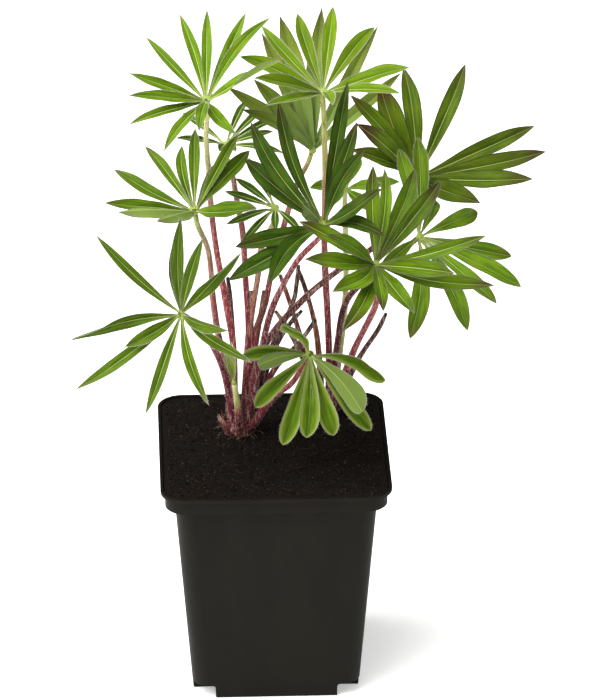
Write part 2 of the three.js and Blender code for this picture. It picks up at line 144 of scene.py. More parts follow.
# The green of each kind of leaf: its face, the darker mottling, and its underside.
LEAF_GREENS = {
    "leaf_lime": (linear("92b412"), linear("648c04"), linear("a4bc58")),
    "leaf_green": (linear("76980e"), linear("446802"), linear("8aa252")),
    "leaf_dark": (linear("527611"), linear("223e02"), linear("7a8e4c")),
    "leaf_olive": (linear("68820f"), linear("3e5606"), linear("8a9450")),
    "leaf_light": (linear("80a01c"), linear("467006"), linear("98b262")),
    "leaf_pale": (linear("b2c060"), linear("94a844"), linear("c0c88c")),
}
BLUSH = linear("47251f")
RIB = linear("d0de84")
ROOT_GREEN = linear("b4c85a")
OCHRE = linear("8a7c1c")
EDGE_PURPLE = linear("3e2626")
SAGE = linear("7f9a52")

SOIL_BLACK = linear("070504")
SOIL_BROWN = linear("19120d")
SOIL_PATCH = linear("0d0806")
SOIL_SPECK = linear("352a21")
CRUMBS = [linear(code) for code in ("090705", "130e0a", "1c1510", "2b2119", "3b3026")]
FIBRE_BROWNS = [linear(code) for code in ("1d150e", "281d15", "3a2d20")]
POT_BLACK = linear("151410")
POT_GREY = linear("191813")
POT_GRAIN = linear("22211e")
DUST_AND_SHADE = linear("120e0b")
PAPER_WHITES = linear("f6f6f5"), linear("f8f8f7")

# ---------------------------------------------------------------- the leaves, as in the CAD part

# A blade's outline: how full its root is, where it narrows to the tip, and how pointed that tip is.
POINTED = (1.0, 3.2, 1.0)
SLENDER = (0.9, 2.6, 1.05)
BLUNT = (1.0, 5.0, 0.62)
OBLONG = (1.1, 4.2, 0.85)
FULL = (0.55, 3.2, 1.0)


def blade(bearing, rise, length, width=None, bow=0, roll=0, twist=0, light=1.0):
    """A leaflet: its bearing in the leaf's plane and its rise out of it in degrees, its length and width.

    The middle bulges to the right by bow, as a share of the length. The whole blade is rolled about its
    midrib and the outer half twisted, in degrees, with the right side going up. light is how light it is
    painted beside the other leaflets of its leaf; above 1 it is painted light for leaflets that lie in
    shade.
    """
    return dict(
        bearing=bearing, rise=rise, length=length, width=width, bow=bow, roll=roll, twist=twist, light=light
    )


USUAL_LOOKS = dict(
    outline=POINTED, dot=False, fold=FOLD, knob=1.5, fuzz=HAIR, shade=1.0, rib=0.65, root=0.28, halo=0,
    bloom=0,
)


def leaf_row(**given):
    """A leaf's values, with the usual looks where it says nothing else."""
    return {**USUAL_LOOKS, **given}


# crown is the shoot that a leaf grows from, hub where its leaflets meet, and stalk the points that its stalk
# passes on the way down. faces is the way that its face looks: degrees from the front towards +X, then
# degrees over the horizon. width is how wide the blades are that don't say so themselves, fold how steeply
# they are folded, and knob how large the hub is.
# The rest is its colouring: slot its green, tones its stalk, dot a dark spot on the hub, blush how brown the
# tips are, rim how white the margins look, fuzz the colour of the hairs there, root how far out from the hub
# the blades are pale, bloom how greyish they are near it, shade how light they are beside others of their
# green, rib how clearly the midrib shows, and the last, painted edge light, how much painted light lightens
# the outer part of each half.
LEAVES = {
    "leaf_top_left": leaf_row(
        crown="left", hub=(-25, 14, 237), faces=(-20, 62), width=4.5, slot="leaf_green", outline=SLENDER,
        blush=0.3, rim=0.6, tones="tall", dot=True, shade=0.98,
        stalk=(
            (-25, 21, 220), (-24, 27, 201), (-23, 27, 184), (-21, 22, 168), (-18, 17, 151), (-15, 14, 130),
        ),
        leaflets=(
            blade(149, 25, 35, 3.6, bow=-0.02), blade(121, 25, 37, 4.1, bow=0.03),
            blade(102, 25, 37, 4, bow=0.005), blade(75, 25, 38, 4.5, bow=0.015),
            blade(60, 25, 41, 4.2, bow=-0.05), blade(22, 30, 36, 5.6, bow=0.015, twist=80),
            blade(-50, 25, 36, 4.6, bow=0.025), blade(-73, 35, 38, 4.4), blade(-99, 20, 37, 3.9),
            blade(-129, 25, 37, 3.8, bow=0.01), blade(-147, 35, 34, 4.6, bow=-0.03),
            blade(-173, 30, 32, 4.2),
        ),
    ),
    "leaf_top_middle": leaf_row(
        crown="right", hub=(20, 18, 238), faces=(-10, 78), width=5, slot="leaf_lime", blush=0.15, rim=1,
        tones="fresh", shade=0.61, rib=1.3,
        stalk=((21, 21, 208), (21, 25, 170), (23, 29, 124)),
        leaflets=(
            blade(176, 25, 35, 6), blade(143, 25, 37, 4.6, bow=-0.04), blade(115, 25, 37, 5.2, bow=-0.02),
            blade(90, 25, 39, 5.2, bow=-0.01), blade(62, 20, 36, 5.8), blade(0, 25, 37, 6.5, bow=0.01),
            blade(-21, 20, 36, 4.5), blade(-76, 30, 40, 4), blade(-117, 25, 40, 4.5, bow=-0.03),
            blade(-138, 35, 37, 6.2, bow=-0.03),
        ),
    ),
    "leaf_back": leaf_row(
        crown="left", hub=(17, 44, 202), faces=(10, 60), width=5, slot="leaf_olive", outline=FULL,
        blush=0.55, rim=0.2, tones="red", root=1.3, rib=0.2, fuzz=GREY_HAIR, bloom=0.7, shade=0.86,
        stalk=((11, 38, 191), (6, 33, 177), (0, 25, 157), (-2, 22, 148), (-8, 17, 129)),
        leaflets=(
            blade(170, 40, 39, 5.5), blade(151, 30, 43, 5.5), blade(135, 35, 37, 6.5),
            blade(110, 30, 50, 6), blade(99, 35, 54, 7.5, bow=-0.02), blade(78, 35, 56, 6.5, bow=-0.02),
            blade(51, 35, 55, 5), blade(24, 30, 46, 5.5),
        ),
    ),
    "leaf_left": leaf_row(
        crown="left", hub=(-30, 4, 195), faces=(-20, 80), width=5, slot="leaf_green", blush=0.5, rim=0.8,
        tones="red", dot=True, shade=0.78, rib=0.8,
        stalk=((-25, 6, 178), (-23, 9, 154), (-21, 11, 138), (-17, 13, 120)),
        leaflets=(
            blade(172, 20, 36, 4.8, bow=-0.07), blade(140, 20, 37, 4.1, bow=-0.015),
            blade(117, 15, 35, 4, bow=-0.04), blade(107, 25, 38, 4.2, bow=-0.01),
            blade(84, 10, 34, 5.6, roll=165), blade(78, 25, 38, 4.2, bow=0.02), blade(68, 15, 36, 6),
            blade(-22, 25, 35, 8.2, bow=0.06), blade(-92, 30, 41, 6.5, bow=-0.05, roll=170),
            blade(-128, 25, 37, 5.8, bow=-0.03, roll=170), blade(-146, 20, 37, 5, bow=-0.02),
        ),
    ),
    "leaf_low_left": leaf_row(
        crown="left", hub=(-36, -22, 164), faces=(-25, 25), width=4, slot="leaf_green", outline=SLENDER,
        blush=0.3, rim=0.9, tones="wine", dot=True, shade=0.58, rib=1.1,
        stalk=((-29, -12, 153), (-23, -4, 140), (-18, 8, 119)),
        leaflets=(
            blade(144, 20, 45, 3.9, bow=-0.03), blade(97, 20, 31, 4.6, bow=-0.025),
            blade(87, 32, 44, 4.6, bow=-0.015), blade(71, 30, 38, 4.3),
            blade(48, 24, 42, 5.2, bow=0.03, twist=-70), blade(-2, 42, 40, 5, bow=0.02, roll=-35),
            blade(-16, 25, 44, 4.2, bow=0.035), blade(-52, 25, 43, 4.2, bow=0.035),
            blade(-92, 20, 42, 4.3), blade(-131, 20, 50, 4.4, bow=-0.03),
            blade(-134, 35, 26, 5.4, bow=-0.03), blade(-155, 20, 44, 5, bow=0.04, twist=85),
        ),
    ),
    "leaf_middle": leaf_row(
        crown="left", hub=(19, -14, 197), faces=(-30, 42), width=6.5, slot="leaf_dark", blush=0.55,
        rim=0.15, tones="wine", shade=0.62, fuzz=DARK_HAIR,
        stalk=((10, -7, 180), (6, -3, 171), (0, 2, 155), (-4, 8, 135)),
        leaflets=(
            blade(156, 15, 41, 7, bow=-0.02), blade(141, 20, 49, 6.2, bow=-0.055),
            blade(124, 20, 51, 5.4, bow=-0.045), blade(91, 20, 56, 5.5, bow=0.02), blade(77, 25, 43, 5.4),
            blade(59, 35, 39, 6, bow=-0.03), blade(22, 40, 43, 5.8, bow=0.08),
            blade(-5, 30, 40, 5.6, bow=-0.04), blade(-91, 40, 43, 7.2, bow=0.06),
            blade(-124, 25, 44, 7, bow=-0.03), blade(-140, 30, 36, 7, bow=-0.03),
            blade(150, 62, 13, 6, roll=165),
        ),
    ),
    "leaf_right": leaf_row(
        crown="left", hub=(58, 34, 194), faces=(35, 60), width=7, slot="leaf_olive", blush=0.85, rim=0.1,
        tones="dark", shade=0.82, rib=0.9, fuzz=DARK_HAIR,
        stalk=((50, 24, 183), (42, 18, 174), (25, 13, 164), (11, 13, 151), (-3, 13, 132)),
        leaflets=(
            # The four back leaflets get painted light, as they lie in other leaves' shade and face away from
            # the light.
            blade(164, 30, 40, 6.5, light=1.5), blade(153, 40, 45, 7.5, bow=-0.03, light=1.6),
            blade(124, 30, 44, 6.5, light=1.6), blade(101, 35, 40, 9.4, bow=-0.065, light=1.55),
            blade(75, 30, 44, 6.6, bow=0.01), blade(40, 35, 49, 6.4, bow=-0.01, light=0.84),
            blade(-10, 30, 50, 6.6, bow=0.02, light=0.8), blade(-28, 30, 51, 7, bow=0.045, light=0.84),
            blade(-46, 30, 46, 7.4, bow=0.06, light=0.8),
            blade(-99, 40, 46, 8, bow=0.07, roll=-25, light=0.72),
        ),
    ),
    "leaf_front_right": leaf_row(
        crown="right", hub=(38, -29, 187), faces=(15, 48), width=6.5, slot="leaf_green", blush=0.7,
        rim=0.5, tones="crimson", shade=0.87, fuzz=GREY_HAIR, rib=0.95,
        stalk=((40, -10, 169), (40, 2, 155), (32, 17, 127)),
        leaflets=(
            blade(170, 50, 38, 6), blade(152, 25, 37, 6), blade(85, 25, 38, 5.5),
            blade(75, 25, 37, 4.6, bow=0.03), blade(56, 25, 40, 6.5, bow=0.015, light=0.64),
            blade(40, 25, 41, 6.2, bow=0.01, light=0.62), blade(-1, 25, 44, 4.8, bow=0.045),
            blade(-27, 20, 47, 6, bow=0.07, light=0.78), blade(-36, 40, 36, 6.5, light=0.9),
            blade(-86, 40, 40, 6, bow=0.03, light=0.85), blade(-107, 40, 37, 5),
            blade(-126, 25, 43, 6, bow=-0.03), blade(-148, 35, 36, 7.2, bow=-0.09),
            blade(-176, 35, 40, 7, bow=-0.05),
        ),
    ),
    "leaf_right_behind": leaf_row(
        crown="right", hub=(57, 6, 182), faces=(45, 45), width=6, slot="leaf_light", outline=OBLONG,
        blush=0.5, rim=0.7, tones="dark", shade=0.92, rib=0.8,
        stalk=((42, 14, 164), (30, 20, 149), (26, 25, 126)),
        leaflets=(
            blade(83, 20, 35, 5.5), blade(66, 20, 39, 6.2, bow=0.01), blade(24, -20, 34, 5),
            blade(-2, 0, 34, 6.2), blade(-45, 20, 37, 6.2, bow=0.04), blade(-64, 20, 44, 7.2),
            blade(-84, 20, 41, 5.8, bow=0.02), blade(-104, 10, 44, 6.8, bow=-0.01),
            blade(-132, 0, 46, 7.2, bow=-0.02), blade(-169, 5, 28, 5),
        ),
    ),
    "leaf_small_back_left": leaf_row(
        crown="left", hub=(-17, 44, 205), faces=(10, 75), width=3, slot="leaf_dark", blush=0.2, rim=0.6,
        tones="red", rib=1,
        stalk=((-15, 38, 197), (-13, 33, 186), (-11, 28, 175), (-10, 23, 156), (-9, 18, 135)),
        leaflets=(
            blade(129, 10, 23), blade(58, 15, 24), blade(34, 20, 25), blade(12, 20, 24),
            blade(-14, 25, 20), blade(-38, 15, 26), blade(-80, 25, 11), blade(-118, 25, 11),
            blade(-165, 25, 24),
        ),
    ),
    "leaf_small_middle": leaf_row(
        crown="left", hub=(2, 30, 184), faces=(-15, 58), width=3, slot="leaf_dark", blush=0.2, rim=0.6,
        tones="pale", rib=1,
        stalk=((0, 28, 176), (-4, 25, 168), (-5, 23, 159), (-9, 18, 135)),
        leaflets=(
            blade(178, 20, 21), blade(154, 15, 20), blade(129, 20, 23), blade(-46, 20, 21),
            blade(-75, 30, 20), blade(-111, 15, 24), blade(-136, 20, 23),
        ),
    ),
    "leaf_low_front": leaf_row(
        crown="left", hub=(14, -12, 141), faces=(0, 28), width=7, slot="leaf_green", outline=BLUNT,
        blush=0.2, rim=1, tones="crimson", dot=True, fold=36, shade=0.62, rib=0.4, halo=0.7,
        stalk=((7, 2, 121), (1, 8, 113)),
        leaflets=(
            blade(182, 10, 27, 6, bow=0.06), blade(136, 50, 24, 6.2, bow=0.12, roll=60),
            blade(-21, 5, 31, 7.4, bow=-0.13, roll=-40), blade(-50, 27, 33, 9.6, bow=-0.05, roll=170),
            blade(-53, 5, 38, 7.4), blade(-75, 5, 33, 7.6, bow=0.02), blade(-93, 10, 33, 7.8),
            blade(-107, 5, 37, 7.4), blade(-138, 5, 30, 7), blade(-168, 30, 24, 5.4, bow=0.06, roll=165),
        ),
    ),
    "leaf_small_back_right": leaf_row(
        crown="right", hub=(30, 46, 184), faces=(10, 65), width=4.5, slot="leaf_light", blush=0.1, rim=0.8,
        tones="young",
        stalk=((30, 41, 160), (29.7, 37.5, 140), (27.5, 33, 120)),
        leaflets=(
            blade(98, 0, 18, 3.5), blade(58, 0, 18, 3.5), blade(-12, 20, 22), blade(-42, 40, 20),
            blade(-77, 25, 20), blade(-125, 25, 21), blade(-155, 35, 23),
        ),
    ),
    "leaf_young": leaf_row(
        crown="left", hub=(-15.2, 5, 120.5), faces=(-65, 80), width=4.4, slot="leaf_pale", blush=0, rim=1,
        tones="sprout", fold=50, knob=1.0,
        stalk=((-13.6, 7.5, 106),),
        leaflets=(
            blade(20, 86, 16), blade(92, 85, 18), blade(160, 86, 17), blade(232, 84, 15),
            blade(305, 84, 14),
        ),
    ),
}

# Old dry stalks, from the cut or withered end down, with the colours of their foot and their end, and how
# much they narrow to that end.
CUT = 0.25
WITHERED = 0.7
OLD_STALKS = {
    "left": (
        (((-17, 22, 158), (-16, 21, 149), (-15, 18, 130)), WINE, BARK, CUT),
        (((-3, 20, 153), (-4, 19, 145), (-6, 17, 133)), WINE, UMBER, CUT),
        (((-8, 22, 152), (-8, 19, 141)), RUST, ASH, CUT),
        (((12, 20, 144), (8, 19, 140), (2, 17, 131)), BARK, BARK, CUT),
        (((17, 10, 145), (11, 11, 135), (1, 13, 122)), WINE, BARK, CUT),
        (((11, 28, 160), (10, 26, 152), (9, 24, 147), (-4, 16, 120)), PLUM, BARK, CUT),
        (((-21.5, 11, 103.5), (-19, 11, 98.5)), ROSE, HUSK, WITHERED),
    ),
    "right": (
        (((4, 38, 151), (8, 36, 139), (11, 34, 129)), WINE, RUST, CUT),
        (((11, 42, 152), (14, 39, 144), (18, 35, 128)), RUST, BARK, CUT),
        (((45, 20, 142), (42, 22, 134), (35, 26, 120)), PLUM, BARK, CUT),
        (((2, 34, 137), (6, 33, 131), (12, 32, 119)), BARK, TAN, CUT),
    ),
}

# ---------------------------------------------------------------- meshes


class Bundle:
    """Closed shapes in millimetres that become one mesh, with values for each point."""

    def __init__(self, *channels):
        self.points = []
        self.faces = []
        self.values = {channel: [] for channel in channels}
        self.count = 0

    def add(self, points, faces, **values):
        points = np.asarray(points, float).reshape(-1, 3)
        self.points.append(points)
        self.faces.extend(tuple(self.count + i for i in face) for face in faces)
        for channel, kept in self.values.items():
            wide = 4 if channel == "paint" else 1
            value = np.asarray(values.get(channel, (1, 1, 1, 1) if wide == 4 else 0), float)
            if value.ndim == 0 or (wide == 4 and value.ndim == 1):
                value = np.tile(value, (len(points), 1))
            kept.append(value.reshape(len(points), wide))
        self.count += len(points)

    def piece(self, name, material, node):
        """One object that rides on the body and stands for its CAD node."""
        mesh = mesh_of(name, np.vstack(self.points), self.faces)
        for channel, kept in self.values.items():
            kind, field = ("FLOAT_COLOR", "color") if channel == "paint" else ("FLOAT", "value")
            layer = mesh.attributes.new(channel, kind, "POINT")
            layer.data.foreach_set(field, np.vstack(kept).astype(np.float32).ravel())
        return place(name, mesh, material, node)


def mesh_of(name, points, faces):
    """A new mesh in metres, of points in millimetres."""
    mesh = bpy.data.meshes.new(name)
    mesh.from_pydata((np.reshape(points, (-1, 3)) * METRES).tolist(), [], faces)
    return mesh


def linked(name, data):
    """A new object in the scene, at the origin."""
    made = bpy.data.objects.new(name, data)
    bpy.context.scene.collection.objects.link(made)
    return made


def place(name, mesh, material, node):
    """Puts a mesh into the scene for its CAD node, with smooth shading."""
    mesh.materials.append(material)
    mesh.shade_smooth()
    made = linked(name, mesh)
    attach(made, BODY)
    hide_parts(node)
    return made


def unit(vector):
    return vector / np.linalg.norm(vector)


def smooth_step(value, low, high):
    share = np.clip((value - low) / (high - low), 0, 1)
    return share * share * (3 - 2 * share)


def ring_faces(rows, count):
    """Faces of a closed skin over rows of count points each, with a flat cap at both ends."""
    faces = []
    for row in range(rows - 1):
        for i in range(count):
            a = row * count + i
            b = row * count + (i + 1) % count
            faces.append((a, b, b + count, a + count))
    faces.append(tuple(reversed(range(count))))
    faces.append(tuple((rows - 1) * count + i for i in range(count)))
    return faces


def sheet_faces(rows, columns):
    """Faces of a thin closed sheet: a grid of points on top, the same grid underneath, and its edges."""
    count = rows * columns
    faces = []
    for i in range(rows - 1):
        for j in range(columns - 1):
            a = i * columns + j
            quad = (a, a + 1, a + columns + 1, a + columns)
            faces.append(quad[::-1])
            faces.append(tuple(count + q for q in quad))
        for j, flip in ((0, 1), (columns - 1, -1)):
            a = i * columns + j
            faces.append((a, a + columns, count + a + columns, count + a)[::flip])
    for i, flip in ((0, -1), (rows - 1, 1)):
        for j in range(columns - 1):
            a = i * columns + j
            faces.append((a, a + 1, count + a + 1, count + a)[::flip])
    return faces


def curve_through(points, step):
    """Evenly spaced points on a smooth centripetal curve through the given points."""
    points = np.asarray(points, float)
    ends = np.vstack((2 * points[0] - points[1], points, 2 * points[-1] - points[-2]))
    dense = []
    for p0, p1, p2, p3 in zip(ends, ends[1:], ends[2:], ends[3:]):
        t0, t1, t2 = (max(np.linalg.norm(q - p) ** 0.5, 1e-6) for p, q in ((p0, p1), (p1, p2), (p2, p3)))
        leave = ((p1 - p0) / t0 - (p2 - p0) / (t0 + t1) + (p2 - p1) / t1) * t1
        arrive = ((p2 - p1) / t1 - (p3 - p1) / (t1 + t2) + (p3 - p2) / t2) * t1
        t = np.linspace(0, 1, 40, endpoint=False)[:, None]
        a = 2 * p1 - 2 * p2 + leave + arrive
        b = -3 * p1 + 3 * p2 - 2 * leave - arrive
        dense.append(a * t**3 + b * t**2 + leave * t + p1)
    dense = np.vstack((*dense, points[-1:]))
    run = np.concatenate(([0], np.cumsum(np.linalg.norm(np.diff(dense, axis=0), axis=1))))
    count = max(3, int(round(run[-1] / step)))
    even = np.linspace(0, run[-1], count + 1)
    return np.column_stack([np.interp(even, run, dense[:, k]) for k in range(3)]), even


def carried_frames(path):
    """Two directions square to a path at each of its points, turned as little as possible along it."""
    along = np.gradient(path, axis=0)
    along /= np.linalg.norm(along, axis=1)[:, None]
    side = unit(np.cross(along[0], (0.3, 0.9, 0.2)))
    sides = []
    for direction in along:
        side = unit(side - direction * np.dot(side, direction))
        sides.append(side)
    sides = np.array(sides)
    return along, sides, np.cross(along, sides)


def circle(side, other, count):
    """Points evenly round a circle of radius 1, for each pair of directions that it lies in."""
    turns = np.linspace(0, 2 * math.pi, count, endpoint=False)[:, None]
    return np.cos(turns) * side[..., None, :] + np.sin(turns) * other[..., None, :]


def blend_tones(tones, share):
    """The colour at each share of the way through a list of (share, colour)."""
    stops = [stop for stop, _ in tones]
    colours = np.array([colour for _, colour in tones])
    return np.column_stack([np.interp(share, stops, colours[:, k]) for k in range(4)])


# ---------------------------------------------------------------- materials


class Graph:
    """A material's node graph, with short names for the few nodes that are used."""

    def __init__(self, name):
        self.material = bpy.data.materials.new(name)
        self.material.use_nodes = True
        self.nodes = self.material.node_tree.nodes
        self.links = self.material.node_tree.links
        self.shader = self.nodes["Principled BSDF"]
        self.place = self.new("TexCoord").outputs["Object"]

    def feed(self, socket, value):
        if isinstance(value, bpy.types.NodeSocket):
            self.links.new(value, socket)
        else:
            socket.default_value = value

    def set(self, node, **inputs):
        """Feeds a node's inputs by their names, with _ for each space."""
        for name, value in inputs.items():
            self.feed(node.inputs[name.replace("_", " ")], value)
        return node

    def new(self, kind, **inputs):
        return self.set(self.nodes.new("ShaderNode" + kind), **inputs)

    def attribute(self, name, output="Fac"):
        node = self.new("Attribute")
        node.attribute_name = name
        return node.outputs[output]

    def math(self, operation, *values):
        node = self.new("Math")
        node.operation = operation
        for socket, value in zip(node.inputs, values):
            self.feed(socket, value)
        return node.outputs[0]

    def times(self, first, second):
        return self.math("MULTIPLY", first, second)

    def band(self, value, low, high, to_low=0.0, to_high=1.0):
        """A smooth step from to_low to to_high while the value goes from low to high."""
        node = self.new("MapRange")
        node.interpolation_type = "SMOOTHSTEP"
        for socket, given in zip(node.inputs, (value, low, high, to_low, to_high)):
            self.feed(socket, given)
        return node.outputs[0]

    def layer(self, colour, over, value, low, high, to_low=0.0, to_high=1.0):
        """The colour with another laid over it, by a band of the value."""
        return self.mix(self.band(value, low, high, to_low, to_high), colour, over)

    def mix(self, share, first, second):
        node = self.new("Mix")
        node.data_type = "RGBA"
        for socket, value in ((node.inputs[0], share), (node.inputs[6], first), (node.inputs[7], second)):
            self.feed(socket, value)
        return node.outputs[2]

    def noise(self, size, detail=2.0, rough=0.5, stretch=(1, 1, 1)):
        """Noise with blotches of about the given size in millimetres, drawn out along the stretched axes."""
        mapping = self.new("Mapping", Vector=self.place, Scale=[1 / (size * METRES * s) for s in stretch])
        texture = self.new("TexNoise", Vector=mapping.outputs[0], Scale=1.0, Detail=detail, Roughness=rough)
        return texture.outputs["Fac"]

    def noise_along(self, run, across, offset, length, width):
        """Noise drawn out along a blade, from its points' distances in millimetres."""
        x, y, z = (
            self.math("DIVIDE", value, size)
            for value, size in ((run, length), (across, width), (offset, 0.1))
        )
        spot = self.new("CombineXYZ", X=x, Y=y, Z=z)
        return self.new("TexNoise", Vector=spot.outputs[0], Scale=1.0).outputs["Fac"]

    def bump(self, height, depth, strength=1.0, after=None):
        """A bump of the given depth in millimetres for a height from 0 to 1."""
        node = self.new("Bump", Strength=strength, Distance=depth * METRES, Height=height)
        if after is not None:
            self.set(node, Normal=after)
        return node.outputs["Normal"]

    def finish(self, colour, roughness, normal, specular=0.5, translucent=0.0):
        looks = dict(Base_Color=colour, Roughness=roughness, Normal=normal, Specular_IOR_Level=specular)
        self.set(self.shader, **looks)
        if translucent:
            glow = self.new("BsdfTranslucent", Color=colour, Normal=normal)
            blend = self.new("MixShader", Fac=translucent)
            self.links.new(self.shader.outputs[0], blend.inputs[1])
            self.links.new(glow.outputs[0], blend.inputs[2])
            self.set(self.nodes["Material Output"], Surface=blend.outputs[0])
        return self.material


VEIN_PITCH = 1.5
VEIN_SLANT = 1.9
RIB_HALF = 0.16
SHADED_GROOVE_HALF = 0.7
RIM_WIDTH = 0.27
EDGE_WIDTH = 0.16


def leaf_material(slot):
    """Mottled green blade: pale midrib in a groove of painted shade, brown tips, pale underside, pale
    margins.
    """
    face, deep, under = LEAF_GREENS[slot]
    g = Graph(slot)
    from_rib = g.attribute("from_rib")
    from_edge = g.attribute("from_edge")
    along = g.attribute("along")
    run = g.attribute("run")
    blush = g.attribute("blush")
    tone = g.attribute("tone")

    streak = g.noise_along(run, from_rib, tone, 9, 1.1)
    fine_streak = g.noise_along(run, from_rib, tone, 2.5, 0.35)
    patch = g.noise(9, detail=2)
    grain = g.noise(0.5, detail=4, rough=0.6)
    colour = g.layer(face, deep, streak, 0.34, 0.66, 0.05, 0.75)
    colour = g.layer(colour, deep, fine_streak, 0.35, 0.7, 0.0, 0.22)
    colour = g.layer(colour, deep, grain, 0.3, 0.7, 0.0, 0.18)
    colour = g.layer(colour, OCHRE, g.math("MULTIPLY_ADD", streak, 0.5, patch), 0.78, 1.0, 0.0, 0.16)
    # Painted shade: the groove along the midrib is painted darker.
    colour = g.layer(colour, deep, from_rib, RIB_HALF, SHADED_GROOVE_HALF, 0.55, 0.0)
    # Painted light: the outer part of each half of the blade is painted paler, as if lit.
    halo = g.times(g.band(from_edge, 0.2, 2.2, 1.0, 0.0), g.attribute("halo"))
    colour = g.mix(halo, colour, ROOT_GREEN)
    pale_root = g.band(along, 0.0, g.attribute("root"), 0.6, 0.0)
    colour = g.mix(pale_root, colour, ROOT_GREEN)

    wave = g.math("MULTIPLY_ADD", from_rib, -VEIN_SLANT, run)
    wave = g.math("ABSOLUTE", g.math("SINE", g.times(wave, math.pi / VEIN_PITCH)))
    vein = g.band(wave, 0.0, 0.35, 1.0, 0.0)
    colour = g.mix(g.times(vein, 0.1), colour, RIB)

    tip = g.math("MULTIPLY_ADD", blush, 0.2, g.math("MULTIPLY_ADD", patch, 0.2, along))
    tip = g.band(tip, 0.9, 1.24)
    margin = g.times(g.band(from_edge, 0.1, 0.4, 1.0, 0.0), 0.7)
    brown = g.times(g.math("MAXIMUM", tip, margin), blush)
    colour = g.mix(brown, colour, BLUSH)

    rib = g.band(from_rib, RIB_HALF * 0.5, RIB_HALF * 1.4, 1.0, 0.0)
    rib = g.times(rib, g.band(along, 0.3, 1.0, 1.0, 0.3))
    colour = g.mix(g.times(rib, g.attribute("rib")), colour, RIB)
    downy = g.layer(under, face, grain, 0.3, 0.7, 0.0, 0.35)
    downy = g.mix(g.times(g.band(from_rib, 0.1, 0.35, 1.0, 0.0), 0.5), downy, RIB)
    downy = g.mix(g.times(brown, 0.6), downy, BLUSH)
    colour = g.layer(colour, downy, g.attribute("side"), 0.4, 0.6)
    rim = g.band(from_edge, RIM_WIDTH * 0.5, RIM_WIDTH, 1.0, 0.0)
    colour = g.mix(g.times(rim, g.times(g.attribute("rim"), 0.75)), colour, HAIR)
    edge = g.band(from_edge, EDGE_WIDTH * 0.6, EDGE_WIDTH * 1.2, 1.0, 0.0)
    edge = g.times(edge, g.math("MINIMUM", g.times(blush, 1.5), 0.9))
    colour = g.mix(edge, colour, EDGE_PURPLE)

    shaded = g.new("HueSaturation", Hue=0.5, Value=g.attribute("shade"), Color=colour).outputs["Color"]
    colour = g.mix(g.attribute("plain"), shaded, g.attribute("paint", "Color"))

    height = g.math("SUBTRACT", grain, g.times(vein, 0.8))
    height = g.math("MULTIPLY_ADD", fine_streak, 0.3, height)
    normal = g.bump(height, 0.07, 0.8)
    rough = g.band(grain, 0.3, 0.7, 0.42, 0.6)
    return g.finish(colour, rough, normal, specular=0.1, translucent=0.2)


def stalk_material():
    """Painted stalk: dark streaks, pale streaks of fuzz and painted highlight, downy patches, slight gloss.
    """
    g = Graph("stalk")
    paint = g.attribute("paint", "Color")
    streak = g.noise(0.6, detail=3, stretch=(1, 1, 10))
    blotch = g.noise(4, detail=3, stretch=(1, 1, 3))
    fleck = g.noise(0.4, detail=4, rough=0.7, stretch=(1, 1, 3.5))
    dark = g.mix(0.65, paint, STALK_DARK)
    # Pale lengthwise streaks: partly fuzz, partly painted highlight.
    fuzz_and_highlight = g.mix(0.4, paint, FUZZ)
    colour = g.layer(paint, fuzz_and_highlight, streak, 0.34, 0.48, 0.9, 0.0)
    colour = g.layer(colour, dark, streak, 0.53, 0.68, 0.0, 0.8)
    colour = g.layer(colour, dark, blotch, 0.5, 0.75, 0.0, 0.35)
    fresh = g.math("SUBTRACT", 1.0, g.attribute("plain"))
    downy = g.times(g.band(fleck, 0.54, 0.66, 0.0, 0.5), g.band(blotch, 0.4, 0.55, 0.8, 0.1))
    colour = g.mix(g.times(downy, fresh), colour, FUZZ)
    normal = g.bump(streak, 0.15, 0.7)
    normal = g.bump(fleck, 0.08, 0.5, normal)
    g.set(g.shader, Sheen_Weight=0.05, Sheen_Roughness=0.35, Sheen_Tint=HAIR)
    return g.finish(colour, g.band(fleck, 0.3, 0.7, 0.4, 0.6), normal, specular=0.16)


def soil_material():
    """Nearly black moist compost with brown crumbs."""
    g = Graph("soil")
    crumb = g.noise(0.8, detail=6, rough=0.75)
    patch = g.noise(9, detail=3)
    colour = g.layer(SOIL_BLACK, SOIL_BROWN, crumb, 0.35, 0.7)
    colour = g.layer(colour, SOIL_PATCH, patch, 0.4, 0.7, 0.0, 0.5)
    colour = g.mix(g.attribute("plain"), colour, g.attribute("paint", "Color"))
    speck = g.noise(0.55, detail=2, rough=0.8)
    light = g.times(g.band(speck, 0.6, 0.72), g.math("SUBTRACT", 1.0, g.attribute("plain")))
    colour = g.mix(g.times(light, 0.5), colour, SOIL_SPECK)
    normal = g.bump(crumb, 0.6, 0.9)
    return g.finish(colour, g.band(crumb, 0.3, 0.7, 0.75, 0.95), normal, specular=0.08)


def pot_material():
    """Black satin moulded plastic: fine grain, faint flow marks, dust and painted shade where it faces up.
    """
    g = Graph("pot")
    grain = g.noise(0.35, detail=3)
    flow = g.noise(14, detail=3, stretch=(1, 1, 3))
    colour = g.layer(POT_BLACK, POT_GREY, flow, 0.35, 0.65)
    colour = g.layer(colour, POT_GRAIN, grain, 0.5, 0.75, 0.0, 0.25)
    # Dust where the pot faces up, which is also painted shade that keeps the lit rim top dark.
    facing = g.new("SeparateXYZ", Vector=g.new("NewGeometry").outputs["Normal"])
    dust_and_shade = g.times(g.band(facing.outputs["Z"], 0.5, 0.9), g.band(g.noise(2.5, detail=4), 0.25, 0.5))
    colour = g.mix(g.times(dust_and_shade, 0.8), colour, DUST_AND_SHADE)
    normal = g.bump(grain, 0.03, 0.5)
    normal = g.bump(flow, 0.25, 0.4, normal)
    rough = g.band(flow, 0.3, 0.7, 0.45, 0.58)
    rough = g.math("MULTIPLY_ADD", dust_and_shade, 0.4, rough)
    return g.finish(colour, rough, normal, specular=0.042)


# ---------------------------------------------------------------- leaves

